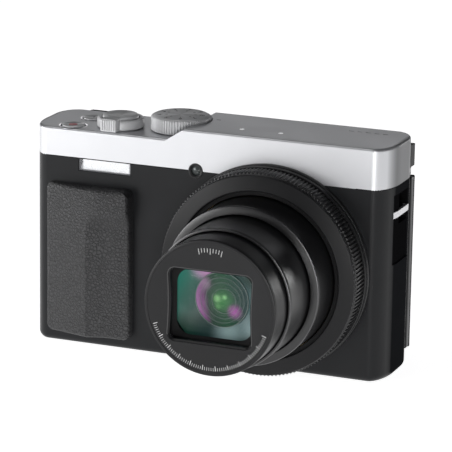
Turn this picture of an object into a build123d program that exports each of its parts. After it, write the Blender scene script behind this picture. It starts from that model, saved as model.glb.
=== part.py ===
from build123d import *
import os
from math import cos, pi, sin

# Compact digital camera with a telescoping zoom lens, a flip-up monitor and an eye-level finder.
# Millimetres. +Z is up, the lens looks along -Y, +X is the side away from the hand grip.
# The origin is the mouth of the tripod socket, on the middle of the bottom face.
# Shapes that cut run about a millimetre past the faces they cut.

# ---------------------------------------------------------------- driving dimensions

# body shell
BODY_WIDTH = 112.0
BODY_FRONT_Y = -13.0
BODY_REAR_Y = 12.3
BODY_HEIGHT = 69.2
GRIP_TOP_DROP = 3.4
COVER_HEIGHT = 12.0
SEAM_Y = 3.0
FRONT_CORNER_WIDTH = 5.3
FRONT_CORNER_DEPTH = 10.5
REAR_CORNER_WIDTH = 6.0
REAR_CORNER_DEPTH = 8.0
BOTTOM_EDGE_R = 2.0
TOP_EDGE_R = 0.8
CASE_WALL = 1.5
COVER_WALL = 1.2
HUMP_SLOPE_X0 = -11.9
HUMP_SLOPE_RUN = 5.1

# clearances
MOVE_GAP = 0.3
RUN_FIT = 0.08
SEAT_GAP = 0.1

# lens
LENS_X = 20.5
LENS_DROP = 26.1
COLLAR_RIM = 0.5
COLLAR_STEP = 0.3
COLLAR_DEPTH = 1.6
COLLAR_LIP_DEPTH = 1.5
CAM_SLEEVE_ROOM = 1.9
TUBE_WALL = 2.3
TUBE_REAR_Y = -3.0
CONTROL_RING_WALL = 2.7
CONTROL_RING_LENGTH = 6.45
BEZEL_SETBACK = 0.6
BEZEL_LAP = 0.3
BEZEL_SLOPE = 0.85
SEAL_LENGTH = 1.0
OUTER_BARREL_R = 23.3
OUTER_BARREL_WALL = 1.8
OUTER_BARREL_LENGTH = 21.5
OUTER_BARREL_REACH = 11.5
MIDDLE_BARREL_GAP = 1.0
MIDDLE_BARREL_WALL = 0.75
MIDDLE_BARREL_LENGTH = 24.0
MIDDLE_BARREL_REACH = 14.5
FRONT_BARREL_GAP = 0.25
FRONT_BARREL_WALL = 0.9
FRONT_BARREL_LENGTH = 13.0
FRONT_BARREL_REACH = 9.1
FRONT_PLATE = 1.8
BARREL_LIP = 1.0
WINDOW_SIDE_LAND = 7.15
WINDOW_TOP_LAND = 9.35
WINDOW_CORNER_R = 2.0
BLADE_THICKNESS = 0.4
BLADE_GAP = 0.2
RETAINER_THICKNESS = 0.6
FRONT_CELL_WALL = 4.1
FRONT_CELL_LENGTH = 7.6
ZOOM_CELL_SETBACK = 13.1
ZOOM_CELL_LENGTH = 3.4
ZOOM_ELEMENT_R = 9.0
FOCUS_Y = -5.2
FOCUS_LENGTH = 2.2
FOCUS_ELEMENT_R = 7.5
FOCUS_CELL_R = 9.5
ROD_SPACING = 26.0
ROD_R = 0.8
BASE_PLATE_Y = 1.5
BASE_PLATE = 1.2
BASE_PLATE_REACH = 30.0
BASE_PLATE_TOP = 25.0
BASE_GATE_WIDTH = 9.0
BASE_GATE_HEIGHT = 7.0
POST_R = 1.6
POST_X = 24.0
POST_Z = 22.0
ROD_REACH = 2.0
FOCUS_ARM = 1.8
SENSOR = (14.0, 1.5, 12.0)
SENSOR_BOARD = (30.0, 24.0)

# zoom drive
GEAR_MODULE = 0.5
CAM_TEETH = 108
IDLER_TEETH = 20
PINION_TEETH = 10
GEAR_WIDTH = 1.8
MOTOR_R = 4.0
AXLE_R = 1.0
SHAFT_R = 0.75
MOTOR_SHAFT = 4.0

# grip pad
GRIP_X0 = -50.2
GRIP_X1 = -22.6
GRIP_Z0 = 3.7
GRIP_Z1 = 49.4
GRIP_CREST = 5.4
GRIP_CREST_X = -32.7
GRIP_THIN_EDGE = 1.0
GRIP_THICK_EDGE = 4.4
GRIP_GROOVE_Z = 41.5
GRIP_GROOVE_X = -35.5
GRIP_GROOVE_FLAT_X = -28.9
GRIP_GROOVE_FLOOR = 3.5

# flash and focus-assist lamp
FLASH_X0 = -40.3
FLASH_X1 = -23.6
FLASH_HEIGHT = 3.8
FLASH_WINDOW = 1.2
FLASH_CORNER_R = 0.8
REFLECTOR_DEPTH = 4.8
CAPACITOR_R = 3.6
LAMP_X = -3.0
LAMP_R = 2.2
LAMP_LENGTH = 2.5

# top controls
DIAL_X = -12.8
DIAL_Y = -0.8
DIAL_R = 8.9
DIAL_RISE = 4.9
DIAL_POCKET_GAP = 0.5
DIAL_NECK_R = 2.5
NECK_CLIP = 0.8
SHUTTER_X = -30.6
SHUTTER_Y = -4.3
SHUTTER_R = 5.4
SHUTTER_RISE = 4.0
SHUTTER_CAP = 2.4
SHUTTER_STEM_R = 2.0
LEVER_R = 7.0
LEVER_RISE = 3.1
LEVER_TAB_REACH = 9.8
LEVER_TAB_WIDTH = 5.1
LEVER_TAB_RISE = 4.2
LEVER_FLOOR = 0.6
LEVER_NECK_GAP = 0.1
LEVER_NECK_WALL = 0.9
RECORD_X = -44.0
RECORD_Y = -8.7
RECORD_R = 3.4
POWER_X = -42.5
POWER_Y = 2.3
POWER_R = 3.0
CAP_RISE = 0.5
CAP_RECESS = 0.8
CAP_LEDGE = 1.2
SHAFT_DROP = 4.2

# rear controls
THUMB_X0 = -50.0
THUMB_X1 = -36.0
THUMB_DROP = 0.6
THUMB_HEIGHT = 18.2
THUMB_DEPTH = 4.5
THUMB_EDGE_R = 1.6
REAR_DIAL_X = -38.5
REAR_DIAL_Z = 23.0
REAR_DIAL_R = 9.0
SET_BUTTON_R = 3.45
SET_BOSS_WALL = 0.65
SET_BOSS_RISE = 1.2
SET_BUTTON_RISE = 1.9
REAR_DIAL_THICKNESS = 1.8
REAR_BUTTON_FLANGE = 0.6
REAR_BUTTON_FLANGE_DEPTH = 0.8
REAR_BUTTON_R = 2.4
REAR_BUTTON_RISE = 0.7
REAR_BUTTONS = {
    "playback_button": (-47.0, 40.0),
    "function_button": (-30.5, 40.0),
    "display_button": (-47.0, 7.5),
    "delete_button": (-30.5, 7.5),
}
FINDER_BUTTON_X = 24.0
FINDER_BUTTON_RISE = 4.3

# monitor and its hinge
MONITOR_X0 = -22.0
MONITOR_X1 = 54.0
MONITOR_Z0 = 3.0
MONITOR_THICKNESS = 3.9
MONITOR_GLASS = 0.9
MONITOR_RIM = 1.4
MONITOR_FLIP_GAP = 0.5
MONITOR_CORNER_R = 2.0
HINGE_AXIS_DROP = 0.2
HINGE_PIN_R = 0.8
HINGE_KNUCKLE_R = 1.3
HINGE_PLATE = 0.4
HINGE_PLATE_LENGTH = 36.0
HINGE_BRACKET_WIDTH = 2.5
HINGE_BRACKET_R = 1.2
PLATE_WINDOW_SIDE = 14.0
PLATE_WINDOW_TOP = 10.0
PLATE_WINDOW_FOOT = 8.0

# finder
FINDER_X0 = 29.0
FINDER_X1 = 54.0
FINDER_SILL = 1.4
FINDER_HEIGHT = 6.5
FINDER_REAR_Y = 16.9
EYEPIECE_X = 40.0
EYEPIECE_WIDTH = 13.0
EYEPIECE_HEIGHT = 4.6
DIOPTER_X = 50.8
DIOPTER_R = 2.2
DIOPTER_POCKET = 1.2
EYEPIECE_GLASS = 1.4
FINDER_MODULE_Y0 = -2.0
FINDER_MODULE_GAP = 1.8

# battery, card and door
BATTERY_WIDTH = 33.0
BATTERY_DEPTH = 10.0
BATTERY_HEIGHT = 42.0
BATTERY_X0 = -51.4
BATTERY_Y0 = -9.1
BATTERY_Z0 = 3.0
BATTERY_GAP = 0.2
BOX_WALL = 0.8
CARD_WIDTH = 24.0
CARD_THICKNESS = 2.1
CARD_HEIGHT = 32.0
DOOR_THICKNESS = 1.2
DOOR_KNUCKLE_R = 1.2
DOOR_PIN_R = 0.5
LATCH_LENGTH = 6.0
LATCH_WIDTH = 6.0
LATCH_THICKNESS = 0.6
LATCH_TRAVEL = 2.5

# tripod socket, strap lug, sockets and screws
BUSH_BORE_R = 3.175
BUSH_R = 5.0
BUSH_FLANGE_R = 6.5
BUSH_DEPTH = 6.5
LUG_Y0 = -6.6
LUG_Y1 = 5.8
LUG_Z0 = 34.0
LUG_Z1 = 54.7
LUG_DEPTH = 3.6
LUG_RECESS = 0.4
LUG_POCKET_DEPTH = 2.4
LUG_POCKET_Y0 = -1.9
LUG_POCKET_Y1 = 5.2
LUG_POCKET_Z0 = 45.4
LUG_POCKET_Z1 = 54.2
LUG_BAR_Z = 48.7
LUG_BAR = 1.8
LUG_BAR_THICKNESS = 0.9
PORT_Y0 = -7.0
PORT_Y1 = 2.2
PORT_Z0 = 46.8
PORT_Z1 = 56.2
PORT_DOOR = 1.2
PORT_PIN_R = 0.3
SOCKET_DEPTH = 6.0
SOCKET_HEIGHT = 3.0
SOCKET_WALL = 0.4
SOCKET_END = 2.4
SCREW_R = 0.9
SCREW_HEAD_R = 1.5
SCREW_HEAD = 0.8
SCREW_LENGTH = 4.0
SCREW_SLOT_REACH = 0.9
SCREW_SLOT_WIDTH = 0.3
SCREW_SLOT_DEPTH = 0.4
SCREW_SPOTS = [(-8.0, 9.0), (34.0, 9.0), (12.0, -9.5), (47.0, -9.0), (-30.0, 9.3)]

# boards
BOARD = 0.8
CHASSIS = 0.7
STANDOFF = 1.0
STANDOFF_R = 1.3
CHASSIS_SIDE = 4.5
CHASSIS_TAB = (8.0, 30.0)
CHIP_HEIGHT = 1.0
CHIPS = [(5.0, 20.0, 12.0), (28.0, 36.0, 10.0), (28.0, 14.0, 7.0)]

# openings in the top cover
MIC_Y = -5.5
MIC_SPOTS = [8.3, 20.3]
MIC_R = 0.4
SPEAKER_X0 = 37.0
SPEAKER_Y = 6.0
SPEAKER_PITCH = 2.6
SPEAKER_SLOTS = 5
SPEAKER_SLOT_LENGTH = 1.6
SPEAKER_SLOT_WIDTH = 0.6

# ---------------------------------------------------------------- derived places

X_RIGHT = BODY_WIDTH / 2
X_LEFT = -BODY_WIDTH / 2
BODY_DEPTH = BODY_REAR_Y - BODY_FRONT_Y
SPLIT_Z = BODY_HEIGHT - COVER_HEIGHT
LOW_TOP_Z = BODY_HEIGHT - GRIP_TOP_DROP
LOW_ROOF_Z = LOW_TOP_Z - COVER_WALL
REAR_WALL_Y = BODY_REAR_Y - CASE_WALL
DIAL_TOP_Z = LOW_TOP_Z + DIAL_RISE
THUMB_Z1 = LOW_TOP_Z - THUMB_DROP
THUMB_Z0 = THUMB_Z1 - THUMB_HEIGHT
LENS_Z = SPLIT_Z - LENS_DROP
HINGE_AXIS_Z = SPLIT_Z - HINGE_AXIS_DROP
FINDER_Z0 = SPLIT_Z + FINDER_SILL
FINDER_Z1 = FINDER_Z0 + FINDER_HEIGHT

OUTER_BORE_R = OUTER_BARREL_R - OUTER_BARREL_WALL
MIDDLE_BARREL_R = OUTER_BORE_R - MIDDLE_BARREL_GAP
MIDDLE_BORE_R = MIDDLE_BARREL_R - MIDDLE_BARREL_WALL
FRONT_BARREL_R = MIDDLE_BORE_R - FRONT_BARREL_GAP
FRONT_BORE_R = FRONT_BARREL_R - FRONT_BARREL_WALL
FRONT_ELEMENT_R = FRONT_BORE_R - FRONT_CELL_WALL
WINDOW_WIDTH = 2 * (FRONT_BARREL_R - WINDOW_SIDE_LAND)
WINDOW_HEIGHT = 2 * (FRONT_BARREL_R - WINDOW_TOP_LAND)
TUBE_BORE_R = OUTER_BARREL_R + CAM_SLEEVE_ROOM
TUBE_R = TUBE_BORE_R + TUBE_WALL
CONTROL_RING_R = TUBE_R + CONTROL_RING_WALL
COLLAR_R = CONTROL_RING_R + COLLAR_RIM
COLLAR_LIP_R = COLLAR_R - COLLAR_STEP
BEZEL_R = CONTROL_RING_R - BEZEL_SETBACK
BEZEL_BORE_R = TUBE_BORE_R - BEZEL_LAP

COLLAR_FRONT_Y = BODY_FRONT_Y - COLLAR_DEPTH
FLANGE_FRONT_Y = COLLAR_FRONT_Y - COLLAR_LIP_DEPTH
RING_REAR_Y = FLANGE_FRONT_Y - MOVE_GAP
RING_FRONT_Y = RING_REAR_Y - CONTROL_RING_LENGTH
BEZEL_REAR_Y = RING_FRONT_Y - MOVE_GAP
BEZEL_FRONT_Y = BEZEL_REAR_Y - BEZEL_SLOPE
LENS_OPENING_R = TUBE_R + 1.0
LENS_OPENING_Y = BODY_FRONT_Y + 8

OUTER_FRONT_Y = BEZEL_FRONT_Y - OUTER_BARREL_REACH
MIDDLE_FRONT_Y = OUTER_FRONT_Y - MIDDLE_BARREL_REACH
FRONT_Y = MIDDLE_FRONT_Y - FRONT_BARREL_REACH
FRONT_PLATE_REAR_Y = FRONT_Y + FRONT_PLATE
BLADE_1_Y = FRONT_PLATE_REAR_Y + BLADE_GAP
BLADE_2_Y = BLADE_1_Y + BLADE_THICKNESS + BLADE_GAP
RETAINER_Y = BLADE_2_Y + BLADE_THICKNESS + BLADE_GAP
FRONT_CELL_Y = RETAINER_Y + RETAINER_THICKNESS
BLADE_HEIGHT = WINDOW_HEIGHT / 4 + 0.1
ZOOM_CELL_Y = MIDDLE_FRONT_Y + ZOOM_CELL_SETBACK

CAM_PITCH_R = GEAR_MODULE * CAM_TEETH / 2
IDLER_PITCH_R = GEAR_MODULE * IDLER_TEETH / 2
PINION_PITCH_R = GEAR_MODULE * PINION_TEETH / 2
GEAR_FRONT_Y = TUBE_REAR_Y + MOVE_GAP + 0.1
GEAR_REAR_Y = GEAR_FRONT_Y + GEAR_WIDTH
IDLER_X = LENS_X - CAM_PITCH_R - IDLER_PITCH_R
IDLER_Z = LENS_Z
PINION_X = IDLER_X
PINION_Z = IDLER_Z + IDLER_PITCH_R + PINION_PITCH_R
BASE_REAR_Y = BASE_PLATE_Y + BASE_PLATE

BATTERY_X1 = BATTERY_X0 + BATTERY_WIDTH
BATTERY_Y1 = BATTERY_Y0 + BATTERY_DEPTH
BATTERY_Z1 = BATTERY_Z0 + BATTERY_HEIGHT
BOX_X0 = BATTERY_X0 - BATTERY_GAP - BOX_WALL
BOX_X1 = BATTERY_X1 + BATTERY_GAP + BOX_WALL
BOX_Y0 = BATTERY_Y0 - BATTERY_GAP - 0.5
CARD_Y0 = BATTERY_Y1 + 2 * BATTERY_GAP + BOX_WALL
CARD_Y1 = CARD_Y0 + CARD_THICKNESS
BOX_Y1 = CARD_Y1 + BATTERY_GAP + BOX_WALL
BOX_Z0 = 2 * DOOR_KNUCKLE_R + MOVE_GAP
BOX_Z1 = BATTERY_Z1 + BATTERY_GAP + BOX_WALL
CARD_X0 = (BATTERY_X0 + BATTERY_X1 - CARD_WIDTH) / 2
DOOR_AXIS_X = BOX_X0 + 1.6
DOOR_X1 = BOX_X1 + 1.0
DOOR_Y0 = BOX_Y0 - 0.2
DOOR_Y1 = BOX_Y1 + 0.2

MONITOR_STACK = MONITOR_THICKNESS + HINGE_PLATE + 2 * MOVE_GAP + MONITOR_FLIP_GAP
HINGE_AXIS_Y = BODY_REAR_Y + MONITOR_STACK / 2
MONITOR_Y1 = 2 * HINGE_AXIS_Y - BODY_REAR_Y - MONITOR_FLIP_GAP
MONITOR_Y0 = MONITOR_Y1 - MONITOR_THICKNESS
MONITOR_Z1 = HINGE_AXIS_Z - HINGE_KNUCKLE_R - MOVE_GAP
PLATE_Y1 = MONITOR_Y0 - MOVE_GAP
PLATE_Y0 = PLATE_Y1 - HINGE_PLATE
BRACKET_X0 = MONITOR_X0 + 0.5
BRACKET_X1 = MONITOR_X1 - 1.0
KNUCKLE_X0 = BRACKET_X0 + HINGE_BRACKET_WIDTH + MOVE_GAP
KNUCKLE_X1 = BRACKET_X1 - HINGE_BRACKET_WIDTH - MOVE_GAP

LUG_FACE_X = X_RIGHT - LUG_RECESS
PORT_AXIS_X = X_LEFT + PORT_DOOR / 2
PORT_AXIS_Y = PORT_Y1 - PORT_DOOR / 2

CHASSIS_Y0 = BASE_REAR_Y + 2.5
CHASSIS_Y1 = CHASSIS_Y0 + CHASSIS
BOARD_Y0 = CHASSIS_Y1 + STANDOFF
BOARD_Y1 = BOARD_Y0 + BOARD


# ---------------------------------------------------------------- shape helpers

def block(x0, x1, y0, y1, z0, z1):
    """A box between two corners."""
    middle = Pos((x0 + x1) / 2, (y0 + y1) / 2, (z0 + z1) / 2)
    return middle * Box(x1 - x0, y1 - y0, z1 - z0)


def rod_x(y, z, radius, x0, x1):
    """A round bar along X."""
    return Pos((x0 + x1) / 2, y, z) * Rot(0, 90, 0) * Cylinder(radius, x1 - x0)


def rod_y(x, z, radius, y0, y1):
    """A round bar along Y."""
    return Pos(x, (y0 + y1) / 2, z) * Rot(90, 0, 0) * Cylinder(radius, y1 - y0)


def rod_z(x, y, radius, z0, z1):
    """A round bar along Z."""
    return Pos(x, y, (z0 + z1) / 2) * Cylinder(radius, z1 - z0)


def lens_disc(radius, y0, y1):
    """A disc on the lens axis."""
    return rod_y(LENS_X, LENS_Z, radius, y0, y1)


def lens_tube(bore, radius, y0, y1):
    """A ring on the lens axis."""
    return lens_disc(radius, y0, y1) - lens_disc(bore, y0 - 1, y1 + 1)


def lens_turned(*points):
    """A ring turned on the lens axis from (radius, y) points."""
    face = make_face(Polyline(*[(r, y, 0) for r, y in points], close=True))
    return Pos(LENS_X, 0, LENS_Z) * revolve(face, Axis.Y, 360)


def outline(inset):
    """The body's plan: straight front and back, with long elliptical corners, drawn in by inset."""
    front_y = BODY_FRONT_Y + inset
    rear_y = BODY_REAR_Y - inset
    front_x = X_RIGHT - FRONT_CORNER_WIDTH
    rear_x = X_RIGHT - REAR_CORNER_WIDTH
    front_mid = (front_x, BODY_FRONT_Y + FRONT_CORNER_DEPTH)
    rear_mid = (rear_x, BODY_REAR_Y - REAR_CORNER_DEPTH)
    front_arc = EllipticalCenterArc(front_mid, FRONT_CORNER_WIDTH - inset, FRONT_CORNER_DEPTH - inset, -90)
    rear_arc = EllipticalCenterArc(rear_mid, REAR_CORNER_WIDTH - inset, REAR_CORNER_DEPTH - inset, 0)
    flank = Line(front_arc @ 1, rear_arc @ 0)
    right_end = [front_arc, flank, rear_arc]
    left_end = [edge.mirror(Plane.YZ) for edge in right_end]
    front = Line((-front_x, front_y), (front_x, front_y))
    rear = Line((-rear_x, rear_y), (rear_x, rear_y))
    return make_face([front, *right_end, rear, *left_end])


def body_prism(inset, z0, z1):
    """The body's outline, drawn in by inset, between two heights."""
    return Pos(0, 0, z0) * extrude(outline(inset), z1 - z0, dir=(0, 0, 1))


def window_opening(grow, y0, y1):
    """The rounded rectangular opening on the lens axis."""
    shape = RectangleRounded(WINDOW_WIDTH + 2 * grow, WINDOW_HEIGHT + 2 * grow, WINDOW_CORNER_R + grow)
    return Pos(LENS_X, y1, LENS_Z) * Rot(90, 0, 0) * extrude(shape, y1 - y0)


def gear(x, z, teeth, bore, phase, y0, y1):
    """A spur gear about Y with straight-sided teeth and some backlash."""
    pitch_r = GEAR_MODULE * teeth / 2
    tip_r = pitch_r + 0.8 * GEAR_MODULE
    root_r = pitch_r - 1.1 * GEAR_MODULE
    step = 2 * pi / teeth
    points = []
    for tooth in range(teeth):
        angle = phase + tooth * step
        for radius, share in ((root_r, -0.30), (tip_r, -0.10), (tip_r, 0.10), (root_r, 0.30)):
            turn = angle + share * step
            points.append((radius * cos(turn), radius * sin(turn)))
    blank = extrude(make_face(Polyline(*points, close=True)), y1 - y0)
    blank = Pos(x, y1, z) * Rot(90, 0, 0) * blank
    return blank - rod_y(x, z, bore, y0 - 1, y1 + 1)


NODES = {}


def node(name, shape):
    """Keeps one named piece."""
    NODES[name] = shape


# ---------------------------------------------------------------- casings and cover

def hinge_pins():
    """The pins of the battery door, the socket cover and the monitor hinge."""
    door_pin = rod_y(DOOR_AXIS_X, DOOR_KNUCKLE_R, DOOR_PIN_R, DOOR_Y0 - 1.2, DOOR_Y1 + 1.2)
    port_pin = rod_z(PORT_AXIS_X, PORT_AXIS_Y, PORT_PIN_R, PORT_Z0 - 1.0, SPLIT_Z)
    monitor_pin = rod_x(HINGE_AXIS_Y, HINGE_AXIS_Z, HINGE_PIN_R, BRACKET_X0, BRACKET_X1)
    return [door_pin, port_pin, monitor_pin]


def casing_openings():
    """Everything that is cut through the black casings."""
    cuts = lens_disc(LENS_OPENING_R, BODY_FRONT_Y - 1, LENS_OPENING_Y)
    for pin in hinge_pins():
        cuts += pin
    cuts += block(FLASH_X0, FLASH_X1, BODY_FRONT_Y - 1, BODY_FRONT_Y + CASE_WALL + 1,
                  SPLIT_Z - FLASH_HEIGHT, SPLIT_Z + 1)
    cuts += rod_y(LAMP_X, SPLIT_Z, LAMP_R + SEAT_GAP, BODY_FRONT_Y - 1, BODY_FRONT_Y + LAMP_LENGTH + 1)
    cuts += rod_z(0, 0, BUSH_R + SEAT_GAP, -1, CASE_WALL + 1)
    cuts += block(DOOR_AXIS_X - DOOR_KNUCKLE_R - MOVE_GAP - 0.1, DOOR_X1 + MOVE_GAP,
                  DOOR_Y0 - MOVE_GAP, DOOR_Y1 + MOVE_GAP, -1, CASE_WALL + 1)
    cuts += block(LUG_FACE_X - LUG_DEPTH, X_RIGHT + 1, LUG_Y0, LUG_Y1, LUG_Z0, LUG_Z1)
    cuts += block(X_LEFT - 1, X_LEFT + CASE_WALL + 1, PORT_Y0 - MOVE_GAP, PORT_Y1 + MOVE_GAP,
                  PORT_Z0 - MOVE_GAP, PORT_Z1 + MOVE_GAP)
    for x, y in SCREW_SPOTS:
        cuts += rod_z(x, y, SCREW_R + SEAT_GAP, -1, CASE_WALL + 1)
        cuts += rod_z(x, y, SCREW_HEAD_R + SEAT_GAP, -1, SCREW_HEAD)
    for x, z in REAR_BUTTONS.values():
        cuts += rod_y(x, z, REAR_BUTTON_R + MOVE_GAP / 2, REAR_WALL_Y - 1, BODY_REAR_Y + 1)
    cuts += rod_y(REAR_DIAL_X, REAR_DIAL_Z, SET_BUTTON_R + MOVE_GAP / 2, REAR_WALL_Y - 1,
                  BODY_REAR_Y + SET_BOSS_RISE + 1)
    return cuts


def casings():
    """The front and rear casings, one shell parted at the seam."""
    shell = body_prism(0, 0, SPLIT_Z)
    shell = fillet(shell.edges().group_by(Axis.Z)[0], BOTTOM_EDGE_R)
    shell -= body_prism(CASE_WALL, CASE_WALL, SPLIT_Z + 1)
    boss_r = SET_BUTTON_R + SET_BOSS_WALL
    shell += rod_y(REAR_DIAL_X, REAR_DIAL_Z, boss_r, REAR_WALL_Y + 1, BODY_REAR_Y + SET_BOSS_RISE)
    for x0 in (BRACKET_X0, BRACKET_X1 - HINGE_BRACKET_WIDTH):
        x1 = x0 + HINGE_BRACKET_WIDTH
        foot_z = HINGE_AXIS_Z - HINGE_BRACKET_R
        shell += block(x0, x1, REAR_WALL_Y, HINGE_AXIS_Y, foot_z, SPLIT_Z)
        shell += block(x0, x1, BODY_REAR_Y, HINGE_AXIS_Y + HINGE_BRACKET_R, foot_z,
                       HINGE_AXIS_Z + HINGE_BRACKET_R)
    shell -= casing_openings()
    wide = BODY_WIDTH
    front_half = block(-wide, wide, BODY_FRONT_Y - 5, SEAM_Y, -5, SPLIT_Z + 5)
    rear_half = block(-wide, wide, SEAM_Y, BODY_REAR_Y + 5, -5, SPLIT_Z + 5)
    node("front_casing", shell & front_half)
    node("rear_casing", shell & rear_half)
    node("hinge_pins", Compound(children=hinge_pins()))


def hump_region(x_start, run, z_low, z_high):
    """The space to the right of the sloping step in the top."""
    far = BODY_WIDTH
    points = [(x_start, z_low), (far, z_low), (far, z_high), (x_start + run, z_high)]
    face = make_face(Polyline(*[(x, 0, z) for x, z in points], close=True))
    return Pos(0, BODY_DEPTH, 0) * extrude(face, 2 * BODY_DEPTH, dir=(0, -1, 0))


def top_cover():
    """The silver top cover, with its raised part and the pocket round the mode dial."""
    low = body_prism(0, SPLIT_Z, LOW_TOP_Z)
    low = fillet(low.edges().group_by(Axis.Z)[-1], TOP_EDGE_R)
    high = body_prism(0, SPLIT_Z, BODY_HEIGHT)
    high = fillet(high.edges().group_by(Axis.Z)[-1], TOP_EDGE_R)
    foot = COVER_HEIGHT - GRIP_TOP_DROP
    slope_foot = HUMP_SLOPE_X0 - HUMP_SLOPE_RUN * foot / GRIP_TOP_DROP
    slope_run = HUMP_SLOPE_RUN * (foot + GRIP_TOP_DROP) / GRIP_TOP_DROP
    high &= hump_region(slope_foot, slope_run, SPLIT_Z, BODY_HEIGHT)
    cover = low + high
    pocket_r = DIAL_R + DIAL_POCKET_GAP
    cover -= rod_z(DIAL_X, DIAL_Y, pocket_r, LOW_TOP_Z, BODY_HEIGHT + 1)
    room = body_prism(COVER_WALL, SPLIT_Z - 1, LOW_ROOF_Z)
    hump_room = body_prism(COVER_WALL, SPLIT_Z - 1, BODY_HEIGHT - COVER_WALL)
    hump_x = HUMP_SLOPE_X0 + HUMP_SLOPE_RUN + COVER_WALL
    hump_room &= block(hump_x, X_RIGHT, -BODY_DEPTH, BODY_DEPTH, SPLIT_Z - 2, BODY_HEIGHT)
    hump_room -= rod_z(DIAL_X, DIAL_Y, pocket_r + COVER_WALL, LOW_ROOF_Z, BODY_HEIGHT + 1)
    cover -= room + hump_room
    cover -= lens_disc(LENS_OPENING_R, BODY_FRONT_Y - 1, LENS_OPENING_Y)
    cover -= rod_y(LAMP_X, SPLIT_Z, LAMP_R + SEAT_GAP, BODY_FRONT_Y - 1, BODY_FRONT_Y + LAMP_LENGTH + 1)
    cover -= rod_z(SHUTTER_X, SHUTTER_Y, SHUTTER_R + LEVER_NECK_GAP + RUN_FIT, LOW_ROOF_Z - 1, LOW_TOP_Z + 1)
    cover -= rod_z(DIAL_X, DIAL_Y, DIAL_NECK_R + RUN_FIT, LOW_ROOF_Z - 1, LOW_TOP_Z + 1)
    for x, y, radius in ((RECORD_X, RECORD_Y, RECORD_R), (POWER_X, POWER_Y, POWER_R)):
        cover -= rod_z(x, y, radius + MOVE_GAP, LOW_TOP_Z - CAP_RECESS, LOW_TOP_Z + 1)
        cover -= rod_z(x, y, radius - CAP_LEDGE + RUN_FIT, LOW_ROOF_Z - 1, LOW_TOP_Z)
    cover -= rod_y(FINDER_BUTTON_X, SPLIT_Z + FINDER_BUTTON_RISE, REAR_BUTTON_R + MOVE_GAP / 2,
                   BODY_REAR_Y - COVER_WALL - 1, BODY_REAR_Y + 1)
    cover -= block(EYEPIECE_X - EYEPIECE_WIDTH / 2, EYEPIECE_X + EYEPIECE_WIDTH / 2,
                   BODY_REAR_Y - COVER_WALL - 1, BODY_REAR_Y + 1, FINDER_Z0 + 1.0, FINDER_Z1 - 0.9)
    for x in MIC_SPOTS:
        cover -= rod_z(x, MIC_Y, MIC_R, BODY_HEIGHT - COVER_WALL - 1, BODY_HEIGHT + 1)
    half_slot = SPEAKER_SLOT_WIDTH / 2
    for number in range(SPEAKER_SLOTS):
        x = SPEAKER_X0 + SPEAKER_PITCH * number
        cover -= block(x, x + SPEAKER_SLOT_LENGTH, SPEAKER_Y - half_slot, SPEAKER_Y + half_slot,
                       BODY_HEIGHT - COVER_WALL - 1, BODY_HEIGHT + 1)
    node("top_cover", cover)


def front_fittings():
    """The flash window, the focus-assist lamp lens and the rubber grip pad."""
    gap = SEAT_GAP
    window = block(FLASH_X0 + gap, FLASH_X1 - gap, BODY_FRONT_Y, BODY_FRONT_Y + FLASH_WINDOW,
                   SPLIT_Z - FLASH_HEIGHT + gap, SPLIT_Z - gap)
    node("flash_window", fillet(window.edges().filter_by(Axis.Y), FLASH_CORNER_R))
    reflector_y = BODY_FRONT_Y + FLASH_WINDOW
    reflector = block(FLASH_X0 + 1, FLASH_X1 - 1, reflector_y, reflector_y + REFLECTOR_DEPTH,
                      SPLIT_Z - FLASH_HEIGHT + MOVE_GAP, SPLIT_Z - MOVE_GAP)
    capacitor = rod_x(BOX_Y1 - CAPACITOR_R - 0.6, BOX_Z1 + CAPACITOR_R + 0.2, CAPACITOR_R,
                      BATTERY_X0 + 7, FLASH_X1 + 1.5)
    node("flash_unit", Compound(children=[reflector, capacitor]))
    node("assist_lamp_lens", rod_y(LAMP_X, SPLIT_Z, LAMP_R, BODY_FRONT_Y, BODY_FRONT_Y + LAMP_LENGTH))

    plan = [
        (GRIP_X0, 0), (GRIP_X0, GRIP_THIN_EDGE), (GRIP_X0 + 5, GRIP_THIN_EDGE + 1.7),
        (GRIP_GROOVE_X - 3, GRIP_CREST - 0.5), (GRIP_CREST_X, GRIP_CREST),
        (GRIP_X1 - 0.6, GRIP_THICK_EDGE + 0.4), (GRIP_X1, GRIP_THICK_EDGE), (GRIP_X1, 0),
    ]
    scoop = [
        (GRIP_GROOVE_X, GRIP_CREST - 0.2), (GRIP_GROOVE_FLAT_X, GRIP_GROOVE_FLOOR), (0, GRIP_GROOVE_FLOOR),
        (0, 3 * GRIP_CREST), (GRIP_GROOVE_X, 3 * GRIP_CREST),
    ]
    pad = grip_prism(plan, GRIP_Z0, GRIP_Z1)
    node("grip_pad", pad - grip_prism(scoop, GRIP_Z0 - 1, GRIP_GROOVE_Z))


def grip_prism(points, z0, z1):
    """An upright prism from (x, how far out from the front face) points."""
    face = make_face(Polyline(*[(x, BODY_FRONT_Y - out) for x, out in points], close=True))
    return Pos(0, 0, z0) * extrude(face, z1 - z0, dir=(0, 0, 1))


# ---------------------------------------------------------------- lens

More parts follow.
